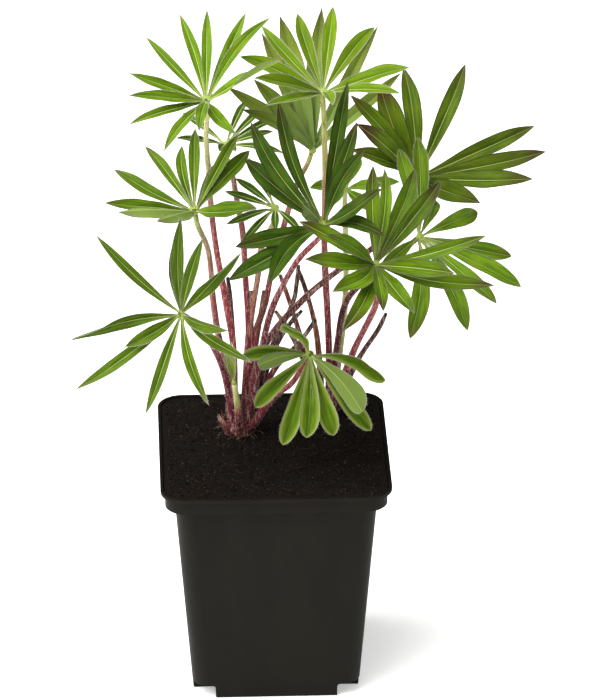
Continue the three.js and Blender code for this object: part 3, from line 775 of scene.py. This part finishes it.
BLADE_STEPS = 26
BLADE_CROSS = 4
BLADE_HALF_THICKNESS = 0.2
RIB_DEPTH = 0.12
RIB_RIDGE = 0.3
CREASE_HALF = 0.35
ROOT_FOLD = 45
SHADE_SPREAD = 0.13
HAIR_RADIUS = 0.04
HAIR_STEP = 0.5
THIRDS = (0, 2.0944, 4.1888)
TIP_HOOK = 0.045
FOOT_ROWS, FOOT_SIDES = 5, 8
KNOB_ROWS, KNOB_SIDES = 7, 14


def leaf_axes(faces):
    """A leaf's own axes in the world: across, up its plane, and the way that it faces."""
    turn, lift = (math.radians(angle) for angle in faces)
    face = np.array((math.sin(turn) * math.cos(lift), -math.cos(turn) * math.cos(lift), math.sin(lift)))
    across = np.array((math.cos(turn), math.sin(turn), 0))
    return across, np.cross(face, across), face


def blade_width(share, outline):
    """The share of its full width that a blade has at each share of its length."""
    root, narrowing, point = outline

    def form(s):
        return (0.08 + s) ** root * np.clip(1 - s**narrowing, 0, 1) ** point

    return np.maximum(form(share) / form(np.linspace(0, 1, 200)).max(), 0.03)


def hair(bundle, foot, direction, length, radius, paint=HAIR):
    """A thin three-sided spike."""
    direction = unit(direction)
    side = unit(np.cross(direction, (0.31, 0.52, 0.79)))
    other = np.cross(direction, side)
    base = [foot + radius * (math.cos(turn) * side + math.sin(turn) * other) for turn in THIRDS]
    points = np.array([*base, foot + direction * length])
    bundle.add(points, ((2, 1, 0), (0, 1, 3), (1, 2, 3), (2, 0, 3)), paint=paint, plain=1)


def blade_course(leaf, spec, draws):
    """A blade's midrib from foot to tip, what is to its side and above it, its half width and its fold."""
    bearing, rise = math.radians(spec["bearing"]), math.radians(spec["rise"])
    length = spec["length"]
    across, plane_up, face = leaf_axes(leaf["faces"])
    level = math.cos(bearing) * across + math.sin(bearing) * plane_up
    along = math.cos(rise) * level + math.sin(rise) * face
    up = (1 - LIGHT_SHARE) * face + LIGHT_SHARE * LIGHT
    up = unit(up - along * np.dot(up, along))
    right = np.cross(along, up)

    share = 1 - (1 - np.linspace(0, 1, BLADE_STEPS + 1)) ** 1.15
    run = share * (length - LEAFLET_ROOT)
    reach = (spec["width"] or leaf["width"]) * FULLER / 2 * blade_width(share, leaf["outline"])
    arch = length * (ARCH + draws.uniform(-0.015, 0.02))
    droop = length * (DROOP + draws.uniform(-0.01, 0.01))
    bow = length * (spec["bow"] + draws.uniform(-0.012, 0.012))
    twist = spec["twist"] + draws.uniform(-9, 9)
    turn = np.radians(spec["roll"] + twist * smooth_step(share, 0.15, 0.85))
    fold_end = leaf["fold"] + draws.uniform(-5, 6)
    fold = np.radians(fold_end + (ROOT_FOLD - fold_end) * (1 - smooth_step(share, 0, 0.4)))

    middle = np.array(leaf["hub"], float) + along * (LEAFLET_ROOT + run)[:, None]
    middle += up * (arch * np.sin(math.pi * share) - droop * share**3)[:, None]
    hook = length * draws.uniform(-TIP_HOOK, TIP_HOOK)
    middle += right * (bow * np.sin(math.pi * share) + hook * smooth_step(share, 0.65, 1.3))[:, None]
    side = np.cos(turn)[:, None] * right + np.sin(turn)[:, None] * up
    lifted = np.cos(turn)[:, None] * up - np.sin(turn)[:, None] * right
    return share, run, middle, side, lifted, reach, fold, along


def leaflet(bundle, leaf, spec, draws):
    """One blade, folded up along its midrib and arched, with hairs on its margins and a short stout foot."""
    share, run, middle, side, lifted, reach, fold, along = blade_course(leaf, spec, draws)
    wave_phase, wave_count = draws.uniform(0, 6.28), draws.uniform(2.0, 3.5)
    near = np.minimum(CREASE_HALF / reach, 0.3)
    half = [near + (1 - near) * k / BLADE_CROSS for k in range(BLADE_CROSS + 1)]
    place_across = np.column_stack([-h for h in reversed(half)] + [np.zeros_like(near)] + half)
    columns = place_across.shape[1]
    size = np.abs(place_across)
    soft = np.sqrt(size**2 + 0.02) - math.sqrt(0.02)
    wave = 0.07 * np.sin(wave_count * 2 * math.pi * share + wave_phase)[:, None] * size**2
    lateral = reach[:, None] * place_across * np.cos(fold)[:, None]
    height = reach[:, None] * (soft * np.sin(fold)[:, None] + wave + 0.05 * np.sin(math.pi * size))
    from_rib = reach[:, None] * size
    crease = np.exp(-((from_rib / 0.28) ** 2)) * smooth_step(reach, 0.1, 0.6)[:, None]
    thick = BLADE_HALF_THICKNESS * (1 - 0.55 * size**2) * smooth_step(reach, -0.1, 0.5)[:, None]
    top, under = (
        middle[:, None, :]
        + lateral[:, :, None] * side[:, None, :]
        + (height + shift)[:, :, None] * lifted[:, None, :]
        for shift in (thick - RIB_DEPTH * crease, -thick - RIB_RIDGE * crease)
    )
    tone = draws.uniform(-1, 1)
    bundle.add(
        (top, under),
        sheet_faces(BLADE_STEPS + 1, columns),
        from_rib=np.tile(from_rib.ravel(), 2),
        from_edge=np.tile((reach[:, None] * (1 - size)).ravel(), 2),
        along=np.tile(np.repeat(share, columns), 2),
        run=np.tile(np.repeat(run, columns), 2) + 10 * draws.random(),
        side=np.repeat((0, 1), (BLADE_STEPS + 1) * columns),
        tone=tone,
        blush=leaf["blush"] * draws.uniform(0.6, 1.2),
        rim=leaf["rim"],
        plain=leaf["bloom"] * np.tile(np.repeat(1 - smooth_step(share, 0.1, 0.75), columns), 2),
        paint=SAGE,
        root=leaf["root"],
        # Above 1, a leaflet's light is painted light on a blade that lies in shade.
        shade=leaf["shade"] * spec["light"] * (1 + SHADE_SPREAD * tone),
        halo=leaf["halo"],
        rib=min(leaf["rib"] * draws.uniform(0.6, 1.2), 1.0),
    )

    foot = np.linspace(0, 1, FOOT_ROWS)
    foot_radius = 0.62 - 0.2 * foot
    centres = np.array(leaf["hub"], float) + along * (0.5 + 3.2 * foot)[:, None]
    rings = centres[:, None, :] + foot_radius[:, None, None] * circle(side[0], lifted[0], FOOT_SIDES)
    bundle.add(rings, ring_faces(FOOT_ROWS, FOOT_SIDES), paint=HUB_GREEN, plain=1)
    margin_hairs(bundle, top, run, side, lifted, along, leaf["fuzz"], draws)


def margin_hairs(bundle, top, run, side, lifted, along, paint, draws):
    """Short hairs along both margins of a blade, which lean outwards and towards its tip."""
    for edge, outward in ((0, -1), (-1, 1)):
        at = LEAFLET_ROOT + 2
        while at < run[-1] - 1:
            at += HAIR_STEP * draws.uniform(0.5, 1.5)
            i = min(int(np.searchsorted(run, at)), BLADE_STEPS)
            before = max(i - 1, 0)
            t = (at - run[before]) / max(run[i] - run[before], 1e-6)
            root = (1 - min(t, 1)) * top[before, edge] + min(t, 1) * top[i, edge]
            lean = outward * side[i] + along * draws.uniform(0.4, 1.3) + lifted[i] * draws.uniform(-0.3, 0.7)
            hair(bundle, root - lean * 0.05, lean, draws.uniform(0.4, 1.0), HAIR_RADIUS, paint)


def hub_knob(bundle, leaf):
    """The pale knob that the leaflets join, with a small dark dot on some leaves."""
    across, plane_up, face = leaf_axes(leaf["faces"])
    ring = circle(across, plane_up, KNOB_SIDES)
    rings = []
    for height in np.linspace(-1, 1, KNOB_ROWS + 2)[1:-1]:
        radius = leaf["knob"] * math.sqrt(1 - height**2)
        rings.append(np.array(leaf["hub"]) + radius * ring + face * (height * 1.2 + 0.1))
    paint = np.tile(HUB_GREEN, (KNOB_ROWS, KNOB_SIDES, 1))
    if leaf["dot"]:
        for row, dark in ((-1, 0.8), (-2, 0.15)):
            paint[row] = dark * np.array(HUB_DOT) + (1 - dark) * np.array(HUB_GREEN)
    paint = paint.reshape(-1, len(HUB_GREEN))
    bundle.add(np.array(rings), ring_faces(KNOB_ROWS, KNOB_SIDES), paint=paint, plain=1)


LEAF_CHANNELS = (
    "from_rib", "from_edge", "along", "run", "side", "tone", "blush", "rim", "root", "shade", "halo", "rib",
    "plain", "paint",
)


def build_leaves():
    materials = {slot: leaf_material(slot) for slot in LEAF_GREENS}
    for name, leaf in LEAVES.items():
        draws = random.Random(name)
        bundle = Bundle(*LEAF_CHANNELS)
        for spec in leaf["leaflets"]:
            leaflet(bundle, leaf, spec, draws)
        hub_knob(bundle, leaf)
        bundle.piece(name + "_blades", materials[leaf["slot"]], name)


# ---------------------------------------------------------------- shoots

TUBE_SIDES = 12
TUBE_STEP = 2.0
TUBE_END = 4
FLARE_RUN = 7
STALK_FLARE, OLD_FLARE = 0.7, 0.4
STALK_HAIRS, OLD_HAIRS = 13.2, 4.8
TINT_SPREAD = (0.88, 1.1)
SCALES = 15
ROOTLETS = 30
CROWN_ROWS = 24
CROWN_SIDES = 36
THREAD_SIDES = 4
THREAD_STEP = 0.8


def tube(bundle, waypoints, radii, tones, draws, flare, hairs, taper=0.0):
    """A stalk along a smooth curve, softly ribbed, with hairs that stand off it.

    It is wider by flare at its foot, has the given number of hairs for each millimetre, and narrows by taper
    over its last few millimetres.
    """
    path, run = curve_through(waypoints, TUBE_STEP)
    along, side, other = carried_frames(path)
    share = run / run[-1]
    radius = radii[0] + (radii[1] - radii[0]) * share + flare * np.exp(-run / FLARE_RUN)
    radius *= 1 - taper * smooth_step(share, 1 - TUBE_END / run[-1], 1)
    turns = np.linspace(0, 2 * math.pi, TUBE_SIDES, endpoint=False)
    ribs = 1 + 0.07 * np.cos(3 * turns + draws.uniform(0, 6))
    wobble = 1 + 0.05 * np.sin(run / draws.uniform(5, 9) + draws.uniform(0, 6))
    spread = (radius * wobble)[:, None] * ribs[None, :]
    points = path[:, None, :] + spread[:, :, None] * circle(side, other, TUBE_SIDES)
    colour = blend_tones(tones, share) * np.array([draws.uniform(*TINT_SPREAD) for _ in range(3)] + [1])
    bundle.add(points, ring_faces(len(path), TUBE_SIDES), paint=np.repeat(colour, TUBE_SIDES, axis=0))
    for _ in range(int(run[-1] * hairs)):
        at = draws.uniform(0.05, 0.99) * (len(path) - 1)
        i = int(at)
        turn = draws.uniform(0, 2 * math.pi)
        out = math.cos(turn) * side[i] + math.sin(turn) * other[i]
        centre = path[i] + (path[min(i + 1, len(path) - 1)] - path[i]) * (at - i)
        lean = out + along[i] * draws.uniform(-0.2, 0.5)
        hair(bundle, centre + out * radius[i] * 0.9, lean, draws.uniform(0.5, 1.3), HAIR_RADIUS * 0.8)


def thread(bundle, way, radius, paint):
    """A fine fibre along a smooth curve through the given points."""
    path, _ = curve_through(way, THREAD_STEP)
    _, side, other = carried_frames(path)
    points = path[:, None, :] + radius * circle(side, other, THREAD_SIDES)
    bundle.add(points, ring_faces(len(path), THREAD_SIDES), paint=paint, plain=1)


def faded(colour, share):
    """The colour made darker to the given share."""
    return np.array(colour) * (share, share, share, 1)


def stalk_foot(crown, towards):
    """Where a stalk starts in its crown: a little to the side that it leaves on."""
    x, y, radius = CROWNS[crown]
    side = unit(np.array((towards[0] - x, towards[1] - y, 0), float))
    return np.array((x, y, SOIL_TOP - 1)) + side * radius * 0.4


def crown_body(bundle, crown, draws):
    """The swollen base of a shoot, lumpy and half buried."""
    x, y, radius = CROWNS[crown]
    heights = np.linspace(CROWN_RINGS[0][0], CROWN_RINGS[-1][0], CROWN_ROWS)
    shares = np.interp(heights, [z for z, _ in CROWN_RINGS], [share for _, share in CROWN_RINGS])
    turns = np.linspace(0, 2 * math.pi, CROWN_SIDES, endpoint=False)
    points, paint = [], []
    for height, share in zip(heights, shares):
        for turn in turns:
            direction = Vector((math.cos(turn), math.sin(turn), height / 14))
            lump = 1 + 0.16 * noise.noise(direction * 2.2 + Vector((x, y, 0)))
            lump += 0.05 * math.cos(9 * turn + height * 0.4)
            reach = radius * share * lump * 0.94
            points.append((x + reach * math.cos(turn), y + reach * math.sin(turn), SOIL_TOP + height))
            fade = float(np.clip((height + 1) / 5, 0, 1))
            mix = 0.5 + 0.5 * noise.noise(direction * 5)
            low = np.array(HUSK) * 0.55 * mix + np.array(PLUM) * (1 - mix)
            paint.append(low * (1 - fade) + np.array(WINE) * fade)
    bundle.add(points, ring_faces(CROWN_ROWS, CROWN_SIDES), paint=np.array(paint))


def scale(bundle, foot, outward, upward, length, width, paint):
    """A thin papery scale that hugs a stalk's base, with a ragged tip that leans out a little."""
    rows, columns = 7, 7
    across = unit(np.cross(upward, outward))
    share = np.linspace(0, 1, rows)[:, None]
    side = np.linspace(-1, 1, columns)[None, :]
    reach = width / 2 * (0.75 + 0.5 * share - 1.05 * share**3)
    ragged = 0.12 * length * np.sin(5 * side + length) * share**4
    place_up = (share * length + ragged) * np.ones_like(side)
    place_out = 0.16 * length * share**2 - 0.55 * reach * side**2
    top = foot + place_up[:, :, None] * upward + place_out[:, :, None] * outward
    top = top + (reach * side)[:, :, None] * across
    points = np.concatenate(((top + 0.12 * outward).reshape(-1, 3), (top - 0.12 * outward).reshape(-1, 3)))
    bundle.add(points, sheet_faces(rows, columns), paint=paint)


def crown_litter(bundle, crown, draws):
    """Papery scales round the foot of the stalks, and rootlets on the soil."""
    x, y, radius = CROWNS[crown]
    for number in range(SCALES):
        turn = 2 * math.pi * (number + draws.uniform(-0.3, 0.3)) / SCALES
        outward = np.array((math.cos(turn), math.sin(turn), 0))
        upward = unit(np.array((0, 0, 1)) + outward * draws.uniform(0.05, 0.5))
        foot = np.array((x, y, SOIL_TOP - 1)) + outward * radius * draws.uniform(0.7, 1.0)
        paint = faded(draws.choice((HUSK, ROSE, ROSE, WINE)), draws.uniform(0.3, 0.8))
        scale(bundle, foot, outward, upward, draws.uniform(4, 10), draws.uniform(2.5, 4.5), paint)
    for _ in range(ROOTLETS):
        turn, bend = draws.uniform(0, 2 * math.pi), draws.uniform(-0.8, 0.8)
        reach = radius * draws.uniform(0.7, 0.95)
        way = []
        for step in range(4):
            lift = draws.uniform(0.4, 1.4) if step < 3 else 0.2
            way.append((x + reach * math.cos(turn), y + reach * math.sin(turn), SOIL_TOP + lift))
            reach += draws.uniform(0.8, 2.2)
            turn += bend * 0.3
        paint = faded(draws.choice((HUSK, UMBER, TAN)), draws.uniform(0.1, 0.5))
        thread(bundle, way, draws.uniform(0.06, 0.1), paint)


def build_shoots():
    material = stalk_material()
    for crown in CROWNS:
        draws = random.Random("shoot " + crown)
        bundle = Bundle("plain", "paint")
        crown_body(bundle, crown, draws)
        crown_litter(bundle, crown, draws)
        for leaf in LEAVES.values():
            if leaf["crown"] != crown:
                continue
            _, _, face = leaf_axes(leaf["faces"])
            hub = np.array(leaf["hub"], float)
            away = unit(unit(np.array(leaf["stalk"][0]) - hub) - face)
            way = [stalk_foot(crown, leaf["stalk"][-1]), *reversed(leaf["stalk"])]
            way += [hub + away * STALK_BEND, hub + away * (HUB_RADIUS * 0.4)]
            tube(bundle, way, STALK_RADIUS, STALK_TONES[leaf["tones"]], draws, STALK_FLARE, STALK_HAIRS)
        for points, low, high, taper in OLD_STALKS[crown]:
            way = [stalk_foot(crown, points[-1]), *reversed(points)]
            tones = ((0.5, low), (0.85, high), (0.96, high), (1, CHAR))
            tube(bundle, way, OLD_STALK_RADIUS, tones, draws, OLD_FLARE, OLD_HAIRS, taper)
        bundle.piece(f"shoot_{crown}_stalks", material, f"shoot_{crown}")


# ---------------------------------------------------------------- pot and soil

CORNER_STEPS = 14
CORNER_SOFTNESS = 1.2
POT_BEVEL = 0.3
BLOCK = 60
DRAIN_MIDDLE = 3
DRAIN_LENGTH = 16
DRAIN_SIDES = 24

SOIL_BANDS = 64
SOIL_RIM = SOIL_TOP - 0.2
RIM_RISE = 3
EDGE_POINTS = 56
GRAINS = 8000
FIBRES = 160
LITTER_HALF = CAVITY_RINGS[-1][1] - 2.2


def rounded_square(half, radius, height):
    ring = []
    for corner in range(4):
        centre = (half - radius) * math.sqrt(2)
        towards = math.radians(45 + 90 * corner)
        for step in range(CORNER_STEPS + 1):
            turn = math.radians(90 * corner + 90 * step / CORNER_STEPS)
            x = centre * math.cos(towards) + radius * math.cos(turn)
            y = centre * math.sin(towards) + radius * math.sin(turn)
            ring.append((x, y, height))
    return ring


def notched(ring, start):
    """The ring with its corners pulled in to square notches that start at a distance from the middle."""
    out = []
    half = max(abs(x) for x, _, _ in ring)
    for i, (x, y, z) in enumerate(ring):
        corner, step = divmod(i, CORNER_STEPS + 1)
        share = step / CORNER_STEPS
        if corner % 2:
            share = 1 - share
        near_x = start + (half - start) * max(1 - 2 * share, 0)
        near_y = start + (half - start) * max(2 * share - 1, 0)
        out.append((math.copysign(near_x, x), math.copysign(near_y, y), z))
    return out


def with_edge_points(ring):
    """The ring with more points, evenly spaced, along its four straight edges."""
    out = []
    for i, point in enumerate(ring):
        out.append(point)
        if (i + 1) % (CORNER_STEPS + 1) == 0:
            following = ring[(i + 1) % len(ring)]
            for step in range(1, EDGE_POINTS + 1):
                share = step / (EDGE_POINTS + 1)
                out.append(tuple(a + (b - a) * share for a, b in zip(point, following)))
    return out


def lofted(name, rings):
    """A closed mesh object over rounded squares."""
    points = np.array([rounded_square(half, radius, z) for z, half, radius in rings])
    return linked(name, mesh_of(name, points, ring_faces(len(rings), points.shape[1])))


def from_bmesh(name, bm):
    mesh = bpy.data.meshes.new(name)
    bm.to_mesh(mesh)
    bm.free()
    return linked(name, mesh)


def corner_blocks(name, start, height, softness):
    """Four blocks with rounded edges under the pot's corners, as one object."""
    bm = bmesh.new()
    for x, y in CORNERS:
        reach = start + BLOCK / 2
        middle = Vector((x * reach, y * reach, height - BLOCK / 2))
        bmesh.ops.create_cube(bm, size=BLOCK, matrix=Matrix.Translation(middle))
    bmesh.ops.scale(bm, vec=(METRES, METRES, METRES), verts=bm.verts)
    if softness:
        offset = softness * METRES
        bmesh.ops.bevel(bm, geom=bm.edges[:], offset=offset, segments=4, profile=0.5, affect="EDGES")
    return from_bmesh(name, bm)


def drain_pin(x, y):
    """A pin where a drain hole goes."""
    bm = bmesh.new()
    bmesh.ops.create_cone(
        bm,
        cap_ends=True,
        segments=DRAIN_SIDES,
        radius1=DRAIN_RADIUS * METRES,
        radius2=DRAIN_RADIUS * METRES,
        depth=DRAIN_LENGTH * METRES,
        matrix=Matrix.Translation(Vector((x, y, DRAIN_MIDDLE)) * METRES),
    )
    return from_bmesh("drain", bm)


def cut(target, tool):
    """Takes the tool's volume out of the target for good, and removes the tool."""
    modifier = target.modifiers.new("cut", "BOOLEAN")
    modifier.operation = "DIFFERENCE"
    modifier.solver = "EXACT"
    modifier.object = tool
    bake_modifiers(target)
    bpy.data.objects.remove(tool)


def bake_modifiers(target):
    bpy.context.view_layer.update()
    shaped = target.evaluated_get(bpy.context.evaluated_depsgraph_get())
    mesh = bpy.data.meshes.new_from_object(shaped)
    target.modifiers.clear()
    target.data = mesh


def build_pot():
    outside = lofted("pot_shell", POT_RINGS)
    inside = lofted("pot_inside", CAVITY_RINGS)
    cut(inside, corner_blocks("inner_corners", FOOT_HALF - WALL, CORNER_RISE + WALL, 0))
    cut(outside, corner_blocks("outer_corners", FOOT_HALF, CORNER_RISE, CORNER_SOFTNESS))
    cut(outside, inside)
    for x, y in CORNERS:
        for distance in (CORNER_DRAIN, FLOOR_DRAIN):
            cut(outside, drain_pin(x * distance, y * distance))
    bevel = outside.modifiers.new("edges", "BEVEL")
    bevel.width = POT_BEVEL * METRES
    bevel.segments = 3
    bevel.limit_method = "ANGLE"
    bevel.angle_limit = math.radians(35)
    bake_modifiers(outside)
    mesh = outside.data
    mesh.materials.clear()
    bpy.data.objects.remove(outside)
    place("pot_moulding", mesh, pot_material(), "pot")
    mesh.set_sharp_from_angle(angle=math.radians(40))


def soil_height(x, y):
    return SOIL_TOP + SOIL_WAVE * (1 + math.sin(0.31 * x + 0.8) * math.cos(0.27 * y - 0.5))


def crumb_height(x, y):
    """The soil's top with its crumbs, in millimetres."""
    spot = Vector((x, y, 0))
    coarse = noise.fractal(spot * 0.22, 1.0, 2.0, 3)
    fine = noise.fractal(spot * 0.9, 0.9, 2.1, 4)
    return soil_height(x, y) - 0.35 + 0.55 * coarse + 0.6 * fine


def icosahedron():
    bm = bmesh.new()
    bmesh.ops.create_icosphere(bm, subdivisions=1, radius=1.0)
    points = np.array([v.co[:] for v in bm.verts])
    faces = [tuple(v.index for v in f.verts) for f in bm.faces]
    bm.free()
    return points, faces


def soil_block(bundle):
    """The soil itself: sides that follow the pot's inside, and bands towards the middle of its rough top."""
    notch = FOOT_HALF - WALL - GAP
    ledge = CORNER_RISE + WALL + GAP
    (foot, foot_half, foot_radius), (collar, collar_half, _) = CAVITY_RINGS[:2]
    ledge_half = foot_half + (collar_half - foot_half) * (ledge - foot) / (collar - foot)
    rings = [
        notched(rounded_square(foot_half - GAP, foot_radius, foot + GAP), notch),
        notched(rounded_square(ledge_half - GAP, foot_radius, ledge), notch),
        rounded_square(ledge_half - GAP, foot_radius, ledge),
        *[rounded_square(half - GAP, radius, z + GAP) for z, half, radius in CAVITY_RINGS[1:-1]],
    ]
    rings = [with_edge_points(ring) for ring in rings]
    _, half, radius = CAVITY_RINGS[-1]
    rim = np.array(with_edge_points(rounded_square(half - GAP, radius, SOIL_RIM)))
    for band in range(SOIL_BANDS + 1):
        share = 1 - band / (SOIL_BANDS + 1)
        ring = rim * (share, share, 1)
        edge = min((1 - share) * half / RIM_RISE, 1)
        for point in ring:
            point[2] = SOIL_RIM + (crumb_height(point[0], point[1]) - SOIL_RIM) * edge
        rings.append(ring)
    rings = np.array(rings)
    bundle.add(rings, ring_faces(len(rings), rings.shape[1]))


def soil_grains(bundle, draws):
    """Loose crumbs on the soil, most of them small and dark."""
    ball, ball_faces = icosahedron()
    for _ in range(GRAINS):
        x, y = draws.uniform(-LITTER_HALF, LITTER_HALF), draws.uniform(-LITTER_HALF, LITTER_HALF)
        size = 0.14 + 0.36 * draws.random() ** 3
        stretch = size * np.array([draws.uniform(*span) for span in ((0.6, 1.3), (0.6, 1.3), (0.5, 0.9))])
        spin = np.array(Matrix.Rotation(draws.uniform(0, 6.28), 3, Vector((draws.random(), 0.3, 1))))
        rough = 1 + 0.25 * np.array([draws.uniform(-1, 1) for _ in ball])[:, None]
        centre = np.array((x, y, crumb_height(x, y) + 0.15 * size))
        paint = CRUMBS[int(draws.random() ** 2 * len(CRUMBS))]
        bundle.add((ball * rough * stretch) @ spin + centre, ball_faces, paint=paint, plain=1)


def soil_fibres(bundle, draws):
    """Fine brown fibres that lie on the soil."""
    for _ in range(FIBRES):
        x, y = draws.uniform(-LITTER_HALF, LITTER_HALF), draws.uniform(-LITTER_HALF, LITTER_HALF)
        turn, length = draws.uniform(0, 6.28), draws.uniform(2, 6)
        way = []
        for step in range(4):
            spot = np.array((x, y)) + length * step / 3 * np.array((math.cos(turn), math.sin(turn)))
            spot = np.clip(spot, -LITTER_HALF, LITTER_HALF)
            way.append((*spot, crumb_height(*spot) + draws.uniform(0.0, 0.5)))
            turn += draws.uniform(-0.6, 0.6)
        if np.linalg.norm(np.subtract(way[0], way[-1])) >= 1:
            thread(bundle, way, 0.09, draws.choice(FIBRE_BROWNS))


def build_soil():
    bundle = Bundle("plain", "paint")
    draws = random.Random("soil")
    soil_block(bundle)
    soil_grains(bundle, draws)
    soil_fibres(bundle, draws)
    bundle.piece("soil_crumbs", soil_material(), "soil")


# ---------------------------------------------------------------- stage

CAMERA_TURN = -1.84
CAMERA_LIFT = 27.69
CAMERA_DISTANCE = 2207
CAMERA_AIM_HEIGHT = 95
CAMERA_AIM_RIGHT = 10.55
CAMERA_AIM_UP = 37.44
SENSOR_HEIGHT = 36
LENS = 288.67
# The floor is a light table, which keeps the shadows on it faint. It lies just under the pot.
FLOOR_GLOW = 0.42
FLOOR_HALF, FLOOR_LEVEL = 4000, -0.2
WORLD_LIGHT = 0.38
LIGHTS_AIM = Vector((0, 0, 0.15))
# Each light's name, its place and its side in metres, and its power in watts.
LIGHTS = (
    ("key", (-1.1, -0.5, 2.1), 2.6, 150),
    ("fill", (1.3, -0.7, 1.3), 1.4, 5),
)


def build_camera():
    turn, lift = math.radians(CAMERA_TURN), math.radians(CAMERA_LIFT)
    back = Vector((math.sin(turn) * math.cos(lift), -math.cos(turn) * math.cos(lift), math.sin(lift)))
    right = Vector((math.cos(turn), math.sin(turn), 0))
    up = back.cross(right)
    aim = Vector((0, 0, CAMERA_AIM_HEIGHT)) + right * CAMERA_AIM_RIGHT + up * CAMERA_AIM_UP
    place_at = Vector((0, 0, CAMERA_AIM_HEIGHT)) + back * CAMERA_DISTANCE
    look = (place_at - aim).normalized()
    side = Vector((0, 0, 1)).cross(look).normalized()
    camera = bpy.data.cameras.new("camera")
    camera.sensor_fit = "VERTICAL"
    camera.sensor_height = SENSOR_HEIGHT
    camera.lens = LENS
    camera.clip_end = 20
    made = linked("camera", camera)
    turned = Matrix((side, look.cross(side), look)).transposed().to_4x4()
    made.matrix_world = Matrix.Translation(place_at * METRES) @ turned
    bpy.context.scene.camera = made


def area_light(name, position, size, power):
    lamp = bpy.data.lights.new(name, "AREA")
    lamp.shape = "SQUARE"
    lamp.size = size
    lamp.energy = power
    made = linked(name, lamp)
    made.location = position
    made.rotation_euler = (LIGHTS_AIM - Vector(position)).to_track_quat("-Z", "Y").to_euler()


def build_floor():
    corners = [(x * FLOOR_HALF, y * FLOOR_HALF, FLOOR_LEVEL) for x, y in CORNERS]
    mesh = mesh_of("floor", corners, [(0, 1, 2, 3)])
    g = Graph("floor")
    paper = g.noise(3, detail=2)
    colour = g.layer(*PAPER_WHITES, paper, 0.3, 0.7)
    g.set(g.shader, Emission_Color=colour, Emission_Strength=FLOOR_GLOW)
    mesh.materials.append(g.finish(colour, 0.9, g.bump(paper, 0.02, 0.2), specular=0.1))
    floor = linked("floor", mesh)


def build_light():
    world = bpy.data.worlds.new("world")
    world.use_nodes = True
    background = world.node_tree.nodes["Background"]
    background.inputs["Color"].default_value = (1, 1, 1, 1)
    background.inputs["Strength"].default_value = WORLD_LIGHT
    bpy.context.scene.world = world
    for light in LIGHTS:
        area_light(*light)
    bpy.context.scene.view_settings.view_transform = "Standard"


build_camera()
build_floor()
build_light()
build_leaves()
build_shoots()
build_pot()
build_soil()
